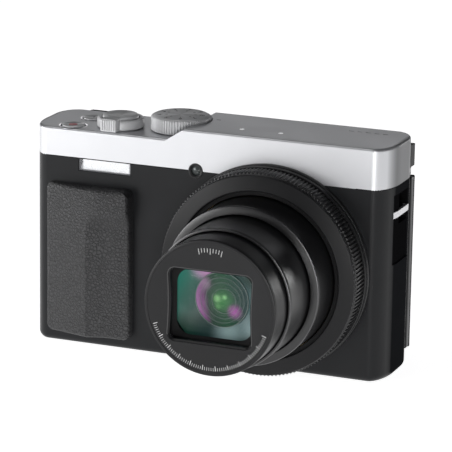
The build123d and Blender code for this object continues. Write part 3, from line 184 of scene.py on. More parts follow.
def object_point(tree, centre=(0, 0, 0), stretch=(1, 1, 1)):
    """Object coordinates measured from a centre given in millimetres."""
    coord = tree.nodes.new("ShaderNodeTexCoord")
    place = tree.nodes.new("ShaderNodeMapping")
    place.inputs["Location"].default_value = [-c * MM * s for c, s in zip(centre, stretch)]
    place.inputs["Scale"].default_value = stretch
    tree.links.new(coord.outputs["Object"], place.inputs["Vector"])
    return place.outputs["Vector"]


def noise_node(tree, point, size, detail=3.0):
    """Noise whose features are about size millimetres across."""
    made = tree.nodes.new("ShaderNodeTexNoise")
    made.inputs["Scale"].default_value = 1 / (size * MM)
    made.inputs["Detail"].default_value = detail
    tree.links.new(point, made.inputs["Vector"])
    return made.outputs["Fac"]


def ramp(tree, factor, *stops):
    """A colour ramp through (place, colour) stops."""
    made = tree.nodes.new("ShaderNodeValToRGB")
    bar = made.color_ramp
    while len(bar.elements) < len(stops):
        bar.elements.new(0.5)
    for element, (place, colour) in zip(bar.elements, stops):
        element.position = place
        element.color = (*colour, 1.0) if hasattr(colour, "__len__") else (colour, colour, colour, 1.0)
    tree.links.new(factor, made.inputs["Fac"])
    return made.outputs["Color"]


def bumped(tree, shader, height, depth, strength=1.0, base=None):
    """Joins a height to the shader's normal; depth is in millimetres."""
    made = tree.nodes.new("ShaderNodeBump")
    made.inputs["Distance"].default_value = depth * MM
    made.inputs["Strength"].default_value = strength
    tree.links.new(height, made.inputs["Height"])
    if base is not None:
        tree.links.new(base, made.inputs["Normal"])
    tree.links.new(made.outputs["Normal"], shader.inputs["Normal"])
    return made.outputs["Normal"]


def shade(colour, amount):
    """A colour made lighter or darker by a share."""
    return tuple(min(1.0, part * (1 + amount)) for part in colour)


def worked_finish(name, colour, roughness, grain=0.3, depth=0.004, patch=9.0, vary=0.12, wear=0.05,
                  **sockets):
    """A finish with a fine surface grain, slow patches of colour and a roughness that wanders."""
    made, tree, shader = new_material(name)
    socket_values(shader, **sockets)
    point = object_point(tree)
    slow = noise_node(tree, point, patch)
    fine = noise_node(tree, point, grain, 2.0)
    tree.links.new(ramp(tree, slow, (0.3, shade(colour, -vary)), (0.7, shade(colour, vary))),
                   shader.inputs["Base Color"])
    tree.links.new(ramp(tree, slow, (0.3, roughness - wear), (0.7, roughness + wear)),
                   shader.inputs["Roughness"])
    if depth:
        bumped(tree, shader, fine, depth)
    return made


def pebbled_rubber(name, colour):
    """Moulded rubber with a leather grain of uneven pebbles parted by creases."""
    made, tree, shader = new_material(name)
    socket_values(shader, Specular_IOR_Level=0.5)
    point = object_point(tree)
    bend = tree.nodes.new("ShaderNodeTexNoise")
    bend.inputs["Scale"].default_value = 1 / (1.1 * MM)
    tree.links.new(point, bend.inputs["Vector"])
    shift = tree.nodes.new("ShaderNodeVectorMath")
    shift.operation = "MULTIPLY_ADD"
    shift.inputs[1].default_value = (0.0006, 0.0006, 0.0006)
    tree.links.new(bend.outputs["Color"], shift.inputs[0])
    tree.links.new(point, shift.inputs[2])
    cells = tree.nodes.new("ShaderNodeTexVoronoi")
    cells.feature = "DISTANCE_TO_EDGE"
    cells.inputs["Scale"].default_value = 1 / (0.95 * MM)
    tree.links.new(shift.outputs[0], cells.inputs["Vector"])
    pebble = ramp(tree, cells.outputs["Distance"], (0.0, 0.0), (0.16, 0.75), (0.45, 1.0))
    fine = noise_node(tree, point, 0.18, 2.0)
    # Painted shade and highlight: the colour darkens into the creases and lightens towards the pebble tops.
    tree.links.new(ramp(tree, cells.outputs["Distance"], (0.0, shade(colour, -0.7)), (0.14, colour),
                        (0.5, shade(colour, 0.3))), shader.inputs["Base Color"])
    tree.links.new(ramp(tree, fine, (0.3, 0.36), (0.7, 0.52)), shader.inputs["Roughness"])
    rough = bumped(tree, shader, fine, 0.01, 0.5)
    bumped(tree, shader, pebble, 0.15, 1.0, rough)
    return made


def turned_metal(name, colour, centre, roughness=0.3, ring=0.16):
    """Metal faced on a lathe: fine rings round an upright axis, and painted highlight in soft fans round it,
    multiplied into the colour.
    """
    made, tree, shader = new_material(name)
    socket_values(shader, Metallic=0.1, Specular_IOR_Level=0.6)
    point = object_point(tree, centre)
    rings = tree.nodes.new("ShaderNodeTexWave")
    rings.wave_type = "RINGS"
    rings.rings_direction = "Z"
    rings.inputs["Scale"].default_value = 1 / (ring * MM * 20 / pi)
    rings.inputs["Distortion"].default_value = 0.6
    tree.links.new(point, rings.inputs["Vector"])
    turn = tree.nodes.new("ShaderNodeTexGradient")
    turn.gradient_type = "RADIAL"
    tree.links.new(point, turn.inputs["Vector"])
    # Painted highlight: the radial ramp lays light and dark lobes round the knob's axis, standing in for the
    # sheen of the turned face.
    painted_fans = ramp(tree, turn.outputs["Fac"], (0.0, 0.6), (0.1, 1.0), (0.2, 0.55), (0.36, 0.85), (0.5, 0.5),
                (0.63, 1.0), (0.76, 0.55), (0.9, 0.8), (1.0, 0.6))
    tone_with_painted_fans = tree.nodes.new("ShaderNodeMix")
    tone_with_painted_fans.data_type = "RGBA"
    tone_with_painted_fans.blend_type = "MULTIPLY"
    tone_with_painted_fans.inputs["Factor"].default_value = 0.7
    tree.links.new(ramp(tree, rings.outputs["Fac"], (0.0, shade(colour, -0.1)), (1.0, colour)),
                   tone_with_painted_fans.inputs["A"])
    tree.links.new(painted_fans, tone_with_painted_fans.inputs["B"])
    tree.links.new(tone_with_painted_fans.outputs["Result"], shader.inputs["Base Color"])
    slow = noise_node(tree, point, 3.0)
    tree.links.new(ramp(tree, slow, (0.3, roughness), (0.7, roughness + 0.06)), shader.inputs["Roughness"])
    bumped(tree, shader, rings.outputs["Fac"], 0.0012)
    return made


def clear_finish(name, tint, alpha, roughness=0.03, **sockets):
    """A clear moulded or ground piece, seen through by its alpha."""
    made, tree, shader = new_material(name)
    socket_values(shader, Alpha=alpha, Specular_IOR_Level=0.9, **sockets)
    point = object_point(tree)
    slow = noise_node(tree, point, 6.0)
    tree.links.new(ramp(tree, slow, (0.3, shade(tint, -0.1)), (0.7, tint)), shader.inputs["Base Color"])
    fine = noise_node(tree, point, 2.0)
    tree.links.new(ramp(tree, fine, (0.2, roughness), (0.8, roughness * 1.6)), shader.inputs["Roughness"])
    return made


def across(tree, point, direction, reach):
    """How far a point lies along a direction, from 0 to 1 over plus and minus reach millimetres."""
    dot = tree.nodes.new("ShaderNodeVectorMath")
    dot.operation = "DOT_PRODUCT"
    dot.inputs[1].default_value = Vector(direction).normalized()
    tree.links.new(point, dot.inputs[0])
    span = tree.nodes.new("ShaderNodeMapRange")
    span.inputs["From Min"].default_value = -reach * MM
    span.inputs["From Max"].default_value = reach * MM
    tree.links.new(dot.outputs["Value"], span.inputs["Value"])
    return span.outputs["Result"]


def summed(tree, first, second, share):
    """The first value plus a share of the second."""
    made = tree.nodes.new("ShaderNodeMath")
    made.operation = "MULTIPLY_ADD"
    made.inputs[1].default_value = share
    tree.links.new(second, made.inputs[0])
    tree.links.new(first, made.inputs[2])
    return made.outputs[0]


def layered(tree, below, above, mask):
    """One colour laid over another by a mask."""
    made = tree.nodes.new("ShaderNodeMix")
    made.data_type = "RGBA"
    tree.links.new(mask, made.inputs["Factor"])
    tree.links.new(below, made.inputs["A"])
    if hasattr(above, "__len__"):
        made.inputs["B"].default_value = (*above, 1.0)
    else:
        tree.links.new(above, made.inputs["B"])
    return made.outputs["Result"]


def soft_spot(tree, point, centre, radius, stretch=(1, 1, 1)):
    """A round mask in the lens plane, 1 at its centre and falling to 0 at its radius, in millimetres."""
    place = tree.nodes.new("ShaderNodeMapping")
    place.inputs["Location"].default_value = [-c * MM * s for c, s in zip((centre[0], 0, centre[1]), stretch)]
    place.inputs["Scale"].default_value = (stretch[0], 0, stretch[2])
    tree.links.new(point, place.inputs["Vector"])
    size = tree.nodes.new("ShaderNodeVectorMath")
    size.operation = "LENGTH"
    tree.links.new(place.outputs["Vector"], size.inputs[0])
    fall = tree.nodes.new("ShaderNodeMapRange")
    fall.interpolation_type = "SMOOTHSTEP"
    fall.inputs["From Min"].default_value = radius * MM
    fall.inputs["From Max"].default_value = 0.0
    tree.links.new(size.outputs["Value"], fall.inputs["Value"])
    return fall.outputs["Result"]


def glass_with_painted_reflections(name, centre, direction, reach, stops, roughness=0.12, glow=0.5, painted_spots=()):
    """Glass with painted reflections: colours that drift across it, with soft painted patches (centre,
    radius, colour) over them.
    """
    made, tree, shader = new_material(name)
    socket_values(shader, Specular_IOR_Level=0.35)
    point = object_point(tree, centre)
    drift = across(tree, point, direction, reach)
    soft = noise_node(tree, point, 7.0, 1.0)
    colours = ramp(tree, summed(tree, drift, soft, 0.1), *stops)
    for middle_of, radius, colour in painted_spots:
        colours = layered(tree, colours, colour, soft_spot(tree, point, middle_of, radius))
    tree.links.new(colours, shader.inputs["Base Color"])
    # Painted reflections glow: the painted colours feed the emission as well.
    tree.links.new(colours, shader.inputs["Emission Color"])
    shader.inputs["Emission Strength"].default_value = glow
    tree.links.new(ramp(tree, soft, (0.3, roughness * 0.7), (0.7, roughness * 1.3)),
                   shader.inputs["Roughness"])
    return made


def matt_and_shaded_flanks(material, changes, inner_x, outer_x):
    """Changes shader values towards the two flanks, whose mould is left matt, and with Base Color paints
    shade that darkens the colour: {socket: (inner, outer)}.
    """
    tree = material.node_tree
    coord = tree.nodes.new("ShaderNodeTexCoord")
    parts = tree.nodes.new("ShaderNodeSeparateXYZ")
    tree.links.new(coord.outputs["Object"], parts.inputs["Vector"])
    size = tree.nodes.new("ShaderNodeMath")
    size.operation = "ABSOLUTE"
    tree.links.new(parts.outputs["X"], size.inputs[0])
    shader = tree.nodes["Principled BSDF"]
    for socket, (inner, outer) in changes.items():
        fade = tree.nodes.new("ShaderNodeMapRange")
        fade.inputs["From Min"].default_value = inner_x * MM
        fade.inputs["From Max"].default_value = outer_x * MM
        fade.inputs["To Min"].default_value = inner
        fade.inputs["To Max"].default_value = outer
        tree.links.new(size.outputs[0], fade.inputs["Value"])
        # Painted shade: the base colour is scaled down towards the flanks.
        if socket == "Base Color":
            painted_shade = tree.nodes.new("ShaderNodeVectorMath")
            painted_shade.operation = "SCALE"
            tree.links.new(shader.inputs[socket].links[0].from_socket, painted_shade.inputs[0])
            tree.links.new(fade.outputs["Result"], painted_shade.inputs["Scale"])
            tree.links.new(painted_shade.outputs[0], shader.inputs[socket])
        else:
            tree.links.new(fade.outputs["Result"], shader.inputs[socket])


def lug_finish(name, plastic, metal, bar_z, bar_x):
    """Dull plastic, with bare metal where the lug's bar runs: between two heights, outside a depth."""
    made, tree, shader = new_material(name)
    coord = tree.nodes.new("ShaderNodeTexCoord")
    parts = tree.nodes.new("ShaderNodeSeparateXYZ")
    tree.links.new(coord.outputs["Object"], parts.inputs["Vector"])
    mask = None
    for axis, kind, limit in (("Z", "GREATER_THAN", bar_z[0]), ("Z", "LESS_THAN", bar_z[1]),
                              ("X", "GREATER_THAN", bar_x)):
        test = tree.nodes.new("ShaderNodeMath")
        test.operation = kind
        test.inputs[1].default_value = limit * MM
        tree.links.new(parts.outputs[axis], test.inputs[0])
        if mask is not None:
            both = tree.nodes.new("ShaderNodeMath")
            both.operation = "MULTIPLY"
            tree.links.new(mask, both.inputs[0])
            tree.links.new(test.outputs[0], both.inputs[1])
            mask = both.outputs[0]
        else:
            mask = test.outputs[0]
    grain = noise_node(tree, coord.outputs["Object"], 0.3)
    base = ramp(tree, grain, (0.3, shade(plastic, -0.1)), (0.7, shade(plastic, 0.1)))
    bare = ramp(tree, grain, (0.3, shade(metal, -0.06)), (0.7, metal))
    tree.links.new(layered(tree, base, bare, mask), shader.inputs["Base Color"])
    for socket, share in (("Metallic", 0.5), ("Specular IOR Level", 0.5)):
        part = tree.nodes.new("ShaderNodeMath")
        part.operation = "MULTIPLY"
        part.inputs[1].default_value = share
        tree.links.new(mask, part.inputs[0])
        tree.links.new(part.outputs[0], shader.inputs[socket])
    shader.inputs["Roughness"].default_value = 0.38
    return made


FINISHES = {}


def finish(name):
    """A finish made once by make_finishes."""
    return FINISHES[name]


def make_finishes(settings):
    """Makes every finish of the object."""
    body, lens, control = settings.camera_body, settings.camera_lens, settings.camera_controls
    black, silver, metal = tuple(body.black), tuple(body.silver), tuple(control.metal)
    barrel = tuple(lens.barrel_black)
    made = FINISHES

    def finish(name, *values, **sockets):
        made[name] = worked_finish(name, *values, **sockets)

    finish("casing_paint", black, 0.33, 0.22, 0.0015, 11.0, 0.08, 0.03, Specular_IOR_Level=0.2)
    matt_and_shaded_flanks(made["casing_paint"], {"Specular IOR Level": (0.2, 0.0)},
                BODY_HIGH.x - 0.9, BODY_HIGH.x - 0.25)
    finish("cover_paint", silver, 0.42, 0.16, 0.003, 14.0, 0.02, 0.03, Metallic=0.86, Specular_IOR_Level=0.3)
    # Base Color (1.0, 0.3) paints shade on the silver cover's flanks.
    matt_and_shaded_flanks(made["cover_paint"], {"Metallic": (0.86, 0.25), "Specular IOR Level": (0.3, 0.1),
                                      "Base Color": (1.0, 0.3)}, BODY_HIGH.x - 1.6, BODY_HIGH.x - 0.2)
    finish("flank_plastic", (0.006, 0.006, 0.0065), 0.6, 0.18, 0.004, 7.0, Specular_IOR_Level=0.0)
    # Painted glint: the microphone rings glow white by their emission, though they are no lamp.
    finish("mic_painted_glint", (0.9, 0.9, 0.92), 0.4, 0.3, 0.0, 2.0, 0.04, 0.03, Emission_Color=(0.9, 0.9, 0.92),
           Emission_Strength=0.45)
    made["grip_rubber"] = pebbled_rubber("grip_rubber", tuple(body.rubber))
    finish("ring_black", (0.011, 0.011, 0.012), 0.36, 0.12, 0.003, 8.0, Specular_IOR_Level=0.55)
    finish("barrel_lacquer", barrel, 0.29, 6.0, 0.0, 12.0, 0.1, 0.004, Specular_IOR_Level=0.7)
    finish("bezel_lacquer", barrel, 0.36, 6.0, 0.0, 12.0, 0.1, 0.02, Specular_IOR_Level=0.24)
    finish("name_ring", (0.0085, 0.0085, 0.0095), 0.36, 6.0, 0.0, 8.0, 0.1, 0.03, Specular_IOR_Level=0.32)
    finish("polished_black", (0.02, 0.02, 0.021), 0.14, 5.0, 0.0, 6.0, 0.1, 0.03, Specular_IOR_Level=0.9)
    # Painted glint: the thin rims inside the lens glow by their emission.
    finish("rim_painted_glint", (0.2, 0.24, 0.23), 0.3, 0.5, 0.0, 3.0, 0.15, 0.03,
           Emission_Color=(0.2, 0.24, 0.23), Emission_Strength=0.3)
    finish("matt_black", (0.006, 0.006, 0.0065), 0.7, 0.2, 0.006, 6.0, Specular_IOR_Level=0.25)
    finish("bright_edge", (0.42, 0.42, 0.44), 0.22, 0.3, 0.001, 5.0, 0.06, 0.04, Metallic=1.0)
    finish("edge_polish", (0.13, 0.13, 0.135), 0.36, 0.3, 0.0, 5.0, 0.06, 0.04, Metallic=1.0)
    finish("chrome_trim", (0.72, 0.72, 0.74), 0.16, 0.4, 0.001, 6.0, 0.04, 0.04, Metallic=1.0)
    finish("moulded_black", (0.014, 0.014, 0.015), 0.5, 0.18, 0.009, 7.0)
    finish("soft_rubber", (0.016, 0.016, 0.017), 0.62, 0.25, 0.012, 5.0, Specular_IOR_Level=0.35)
    finish("print_white", (0.62, 0.62, 0.62), 0.5, 0.2, 0.002, 3.0, 0.05, 0.04)
    finish("print_dark", tuple(control.mark), 0.5, 0.2, 0.002, 3.0, 0.1, 0.04)
    finish("record_red", tuple(control.record_dot), 0.35, 0.2, 0.002, 2.0, 0.1, 0.04)
    finish("plain_steel", (0.5, 0.5, 0.52), 0.32, 0.12, 0.003, 4.0, 0.08, 0.08, Metallic=1.0)
    finish("dark_plate", (0.1, 0.1, 0.11), 0.4, 0.15, 0.004, 6.0, 0.1, 0.08, Metallic=0.8)
    made["lug_with_bar"] = lug_finish("lug_with_bar", (0.006, 0.006, 0.0065), (0.75, 0.75, 0.77),
                                      (47.78, 49.62), BODY_HIGH.x - 1.7)
    finish("gear_brass", (0.62, 0.47, 0.2), 0.3, 0.12, 0.002, 3.0, 0.08, 0.06, Metallic=1.0)
    finish("solder_mask", (0.015, 0.09, 0.04), 0.3, 0.5, 0.004, 2.0, 0.3)
    finish("cell_wrap", (0.05, 0.05, 0.055), 0.4, 0.3, 0.004, 9.0)
    # Painted glow: the flash reflector and the flash unit glow by their emission, though the flash is not
    # lit.
    finish("reflector", (0.92, 0.92, 0.92), 0.25, 0.6, 0.02, 2.0, 0.05, 0.08, Metallic=0.2,
           Emission_Color=(0.95, 0.97, 1.0), Emission_Strength=0.35)
    finish("screen", (0.006, 0.006, 0.008), 0.06, 1.5, 0.0002, 20.0, 0.1, 0.01, Coat_Weight=0.6,
           Coat_Roughness=0.02)
    finish("seam_shadow", (0.004, 0.004, 0.004), 0.9, 0.3, 0.002, 4.0, Specular_IOR_Level=0.1)
    made["front_glass"] = clear_finish("front_glass", (0.02, 0.035, 0.03), 0.06, 0.02)
    made["window_glass"] = clear_finish("window_glass", (0.85, 0.87, 0.9), 0.14, 0.05)
    made["eyepiece_glass"] = clear_finish("eyepiece_glass", (0.02, 0.025, 0.04), 0.75, 0.04)
    made["dial_top"] = turned_metal("dial_top", metal, DIAL, 0.42)
    made["shutter_metal"] = turned_metal("shutter_metal", metal, SHUTTER, 0.36, 0.14)
    made["record_metal"] = turned_metal("record_metal", metal, RECORD, 0.3, 0.14)
    made["power_metal"] = turned_metal("power_metal", metal, POWER, 0.3, 0.14)


# ---------------------------------------------------------------- mesh helpers

def new_mesh():
    """An empty bmesh, drawn in millimetres."""
    return bmesh.new()


def slab(bm, low, high, bevel=0.0, segments=3):
    """A box between two corners, with rounded edges if bevel is given."""
    low, high = Vector(low), Vector(high)
    place = Matrix.Translation((low + high) / 2) @ Matrix.Diagonal((*(high - low), 1))
    verts = bmesh.ops.create_cube(bm, size=1.0, matrix=place)["verts"]
    if bevel:
        edges = list({edge for vert in verts for edge in vert.link_edges})
        bmesh.ops.bevel(bm, geom=edges, offset=bevel, segments=segments, profile=0.5,
                        affect="EDGES", material=-1, clamp_overlap=True)
    return verts


AXES = {"X": (Vector((1, 0, 0)), Vector((0, 1, 0))), "Y": (Vector((0, 1, 0)), Vector((1, 0, 0))),
        "Z": (Vector((0, 0, 1)), Vector((1, 0, 0)))}


def turned(bm, profile, centre=(0, 0, 0), axis="Y", segments=96, closed=True):
    """Spins (radius, along) points round an axis through centre. A closed profile makes a ring."""
    along, out = AXES[axis]
    centre = Vector(centre)
    centre = centre - along * centre.dot(along)
    verts = [bm.verts.new(centre + out * radius + along * place) for radius, place in profile]
    edges = [bm.edges.new(pair) for pair in zip(verts, verts[1:])]
    if closed:
        edges.append(bm.edges.new((verts[-1], verts[0])))
    bmesh.ops.spin(bm, geom=verts + edges, cent=centre, axis=along, dvec=(0, 0, 0), angle=2 * pi,
                   steps=segments, use_merge=True, use_normal_flip=False, use_duplicate=False)
    bmesh.ops.remove_doubles(bm, verts=bm.verts, dist=1e-4)


def first_loop(bm, count, place):
    """A closed loop of count points; place turns an angle into a point."""
    made = bmesh.ops.create_circle(bm, cap_ends=False, segments=count, radius=1.0)["verts"]
    for number, vert in enumerate(made):
        vert.co = place(2 * pi * number / count)
    return made, list({edge for vert in made for edge in vert.link_edges})


def next_loop(bm, loop, place):
    """Extrudes a loop and puts its points where place says."""
    verts, edges = loop
    count = len(verts)
    out = bmesh.ops.extrude_edge_only(bm, edges=edges)["geom"]
    fresh = {item for item in out if isinstance(item, bmesh.types.BMVert)}
    partner = {}
    for vert in verts:
        partner[vert] = next(edge.other_vert(vert) for edge in vert.link_edges
                             if edge.other_vert(vert) in fresh)
    made = [partner[vert] for vert in verts]
    for number, vert in enumerate(made):
        vert.co = place(2 * pi * number / count)
    return made, [edge for edge in out if isinstance(edge, bmesh.types.BMEdge)
                  and edge.verts[0] in fresh and edge.verts[1] in fresh]


def looped(bm, count, *places, close="bridge"):
    """A skin through a row of loops, joined end to end or capped."""
    first = loop = first_loop(bm, count, places[0])
    for place in places[1:]:
        loop = next_loop(bm, loop, place)
    if close == "bridge":
        bmesh.ops.bridge_loops(bm, edges=first[1] + loop[1])
    else:
        bmesh.ops.contextual_create(bm, geom=first[1])
        bmesh.ops.contextual_create(bm, geom=loop[1])


def circle_y(radius, y, centre=None):
    """A loop round the lens axis, or round another centre, at y."""
    middle_point = LENS if centre is None else centre
    return lambda angle: Vector((middle_point.x + radius * cos(angle), y,
                                 middle_point.z + radius * sin(angle)))


def ribbed_y(radius, depth, teeth, y):
    """A loop at y whose radius steps between tips and roots, four points a tooth."""
    def place(angle):
        number = round(angle / (2 * pi) * teeth * 4) % 4
        reach = radius - (depth if number in (2, 3) else 0)
        return Vector((LENS.x + reach * cos(angle), y, LENS.z + reach * sin(angle)))
    return place


def ribbed_z(radius, depth, teeth, z, centre):
    """The same about an upright axis."""
    def place(angle):
        number = round(angle / (2 * pi) * teeth * 4) % 4
        reach = radius - (depth if number in (2, 3) else 0)
        return Vector((centre.x + reach * cos(angle), centre.y + reach * sin(angle), z))
    return place


def circle_z(radius, z, centre):
    """A loop about an upright axis."""
    return lambda angle: Vector((centre.x + radius * cos(angle), centre.y + radius * sin(angle), z))


def rounded_reach(angle, half_width, half_height, corner):
    """Distance from the middle of a rounded rectangle to its edge at an angle."""
    c, s = abs(cos(angle)), abs(sin(angle))
    reach = min(half_width / c if c > 1e-9 else 1e9, half_height / s if s > 1e-9 else 1e9)
    x, z = reach * c, reach * s
    cx, cz = half_width - corner, half_height - corner
    if x > cx and z > cz:
        along = cx * c + cz * s
        reach = along + (along ** 2 - cx ** 2 - cz ** 2 + corner ** 2) ** 0.5
    return reach


def window_loop(half_width, half_height, corner, y, pinch=0.0):
    """A rounded rectangular loop on the lens axis, its sides drawn in at mid height by pinch."""
    def place(angle):
        reach = rounded_reach(angle, half_width, half_height, corner)
        x, z = reach * cos(angle), reach * sin(angle)
        x -= pinch * (1 - (z / half_height) ** 2) * (1 if x > 0 else -1) * min(1, abs(x) / half_width)
        return Vector((LENS.x + x, y, LENS.z + z))
    return place


def make_piece(name, bm, material, body, replaces=(), bevel=0.0, segments=2, smooth=True):
    """Turns a millimetre bmesh into a finished piece that rides on a body."""
    bmesh.ops.remove_doubles(bm, verts=bm.verts, dist=1e-4)
    bmesh.ops.recalc_face_normals(bm, faces=bm.faces)
    bmesh.ops.scale(bm, vec=(MM, MM, MM), verts=bm.verts)
    mesh = bpy.data.meshes.new(name)
    bm.to_mesh(mesh)
    bm.free()
    if smooth:
        mesh.shade_smooth()
        mesh.set_sharp_from_angle(angle=SHARP)
    made = bpy.data.objects.new(name, mesh)
    bpy.context.scene.collection.objects.link(made)
    mesh.materials.append(finish(material) if isinstance(material, str) else material)
    if bevel:
        cut = made.modifiers.new("edges", "BEVEL")
        cut.width = bevel * MM
        cut.segments = segments
        cut.limit_method = "ANGLE"
        cut.angle_limit = radians(32)
        cut.harden_normals = False
    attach(made, body)
    if replaces:
        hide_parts(*replaces)
    return made


def dress(material, *nodes):
    """Gives frame nodes a finish."""
    for node in nodes:
        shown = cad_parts[node]
        shown.data.materials.clear()
        shown.data.materials.append(finish(material))


def text_mesh(words, size, thickness=0.05):
    """Flat lettering as a bmesh in millimetres, centred on the origin in the XY plane."""
    curve = bpy.data.curves.new("lettering", "FONT")
    curve.body = words
    curve.size = size
    curve.align_x = "CENTER"
    curve.align_y = "CENTER"
    curve.extrude = thickness / 2
    curve.resolution_u = 3
    holder = bpy.data.objects.new("lettering", curve)
    bpy.context.scene.collection.objects.link(holder)
    bpy.context.view_layer.update()
    mesh = bpy.data.meshes.new_from_object(holder)
    bm = bmesh.new()
    bm.from_mesh(mesh)
    bpy.data.objects.remove(holder)
    bpy.data.curves.remove(curve)
    bpy.data.meshes.remove(mesh)
    return bm


def add_placed(target, source, matrix):
    """Copies one bmesh into another through a matrix."""
    mesh = bpy.data.meshes.new("passing")
    source.to_mesh(mesh)
    mesh.transform(matrix)
    target.from_mesh(mesh)
    bpy.data.meshes.remove(mesh)


# ---------------------------------------------------------------- body

def body_loop(settings, grow, z):
    """Points round the body's plan outline at a height, drawn out by grow."""
    half = (BODY_HIGH.x - BODY_LOW.x) / 2
    front, rear = settings.front_corner, settings.rear_corner
    corners = ((1, 1, rear, 0), (-1, 1, rear, 90), (-1, -1, front, 180), (1, -1, front, 270))
    points = []
    for side, back, size, start in corners:
        y_edge = REAR_Y if back > 0 else FRONT_Y
        centre = Vector((side * (half - size[0]), y_edge - back * size[1], z))
        for step in range(13):
            angle = radians(start + step * 90 / 12)
            point = centre + Vector(((size[0] + grow) * cos(angle), (size[1] + grow) * sin(angle), 0))
            point.x = max(BODY_LOW.x, min(BODY_HIGH.x, point.x))
            points.append(point)
    return points


def band(bm, rows):
    """A closed ribbon through rows of equally many points, first row joined to last."""
    count = len(rows[0])
    def at(row):
        return lambda angle: row[round(angle / (2 * pi) * count) % count]
    looped(bm, count, *[at(row) for row in rows])


class CAMERA_OT_casings(bpy.types.Operator):
    """Paints the casings and the cover and lays the dark parting line between them"""
    bl_idname = "camera.casings"
    bl_label = "Casings and cover"

    def execute(self, context):
        settings = context.scene.camera_body
        dress("casing_paint", "front_casing", "rear_casing")
        dress("cover_paint", "top_cover")
        bm = new_mesh()
        half = 0.11
        rows = [body_loop(settings, grow, SPLIT_Z + rise)
                for grow, rise in ((-0.4, -half), (0.012, -half), (0.012, half), (-0.4, half))]
        band(bm, rows)
        cut_round_lens(bm)
        make_piece("cover_parting_line", bm, "seam_shadow", ROOT)
        return {"FINISHED"}


def cut_round_lens(bm):
    """Takes away the stretch of a front ribbon that the lens collar and the lamp cover."""
    collar = box_mm("lens_housing")
    lamp = box_mm("assist_lamp_lens")
    for low_x, high_x in ((collar[0].x + 5, collar[1].x - 5), (lamp[0].x - 0.15, lamp[1].x + 0.15)):
        for edge_x in (low_x, high_x):
            bmesh.ops.bisect_plane(bm, geom=list(bm.verts) + list(bm.edges) + list(bm.faces), dist=1e-5,
                                   plane_co=(edge_x, 0, 0), plane_no=(1, 0, 0))
        gone = [face for face in bm.faces
                if low_x < face.calc_center_median().x < high_x and face.calc_center_median().y < 0]
        bmesh.ops.delete(bm, geom=gone, context="FACES")
        bmesh.ops.holes_fill(bm, edges=[edge for edge in bm.edges if edge.is_boundary], sides=8)


def grip_height(x, z, low, high):
    """How far the grip pad stands out at a point of the front face."""
    crest = 5.4
    crest_x = low.x + 17.5
    if x < crest_x:
        height = 1.0 + (crest - 1.0) * (1 - (1 - (x - low.x) / (crest_x - low.x)) ** 1.35)
    else:
        height = crest - 0.5 * ((x - crest_x) / (high.x - crest_x)) ** 1.5
    groove_x, corner = low.x + 14.7, 5.0
    groove_z = high.z - 8.0 + 0.1 * (x - groove_x)
    dx, dz = x - groove_x, groove_z - z
    if dx < corner and dz < corner:
        depth_in = corner - hypot(corner - dx, corner - dz)
    else:
        depth_in = min(dx, dz)
    share = min(1, max(0, (depth_in + 0.3) / 5.2))
    height -= 2.0 * (1 - (1 - share) ** 1.5)
    edge = min(x - low.x, high.x - x, z - low.z, high.z - z)
    turn = 1.0
    if edge < turn:
        height -= turn * (1 - max(0, 1 - (1 - edge / turn) ** 2) ** 0.5) * min(1, height / 3)
    return height


class CAMERA_OT_grip(bpy.types.Operator):
    """Moulds the rubber grip pad with its finger groove and pebbled skin"""
    bl_idname = "camera.grip"
    bl_label = "Grip pad"

    def execute(self, context):
        settings = context.scene.camera_body
        low, high = box_mm("grip_pad")
        bm = new_mesh()
        columns, rows = 110, 180
        bmesh.ops.create_grid(bm, x_segments=columns, y_segments=rows, size=1.0)
        half = Vector(((high.x - low.x) / 2, 0, (high.z - low.z) / 2))
        centre = (low + high) / 2
        corner = settings.grip_corner
        for vert in bm.verts:
            x, z = vert.co.x * half.x, vert.co.y * half.z
            a = (abs(x) - half.x + corner) / corner
            b = (abs(z) - half.z + corner) / corner
            if a > 0 and b > 0:
                a, b = a * (1 - b * b / 2) ** 0.5, b * (1 - a * a / 2) ** 0.5
                x = (half.x - corner + a * corner) * (1 if x > 0 else -1)
                z = (half.z - corner + b * corner) * (1 if z > 0 else -1)
            place = Vector((centre.x + x, 0, centre.z + z))
            height = grip_height(place.x, place.z, low, high)
            cell = noise.voronoi(place / 0.95)[0]
            pebble = min(1.0, (cell[1] - cell[0]) / 0.35)
            height += settings.grip_pebble * (pebble - 1.0) * 0.5
            vert.co = Vector((place.x, FRONT_Y - height, place.z))
        rim = [edge for edge in bm.edges if edge.is_boundary]
        out = bmesh.ops.extrude_edge_only(bm, edges=rim)["geom"]
        for item in out:
            if isinstance(item, bmesh.types.BMVert):
                item.co.y = FRONT_Y
        back = [edge for edge in bm.edges if edge.is_boundary]
        bmesh.ops.contextual_create(bm, geom=back)
        make_piece("grip_pad_skin", bm, "grip_rubber", ROOT, ("grip_pad",))
        return {"FINISHED"}


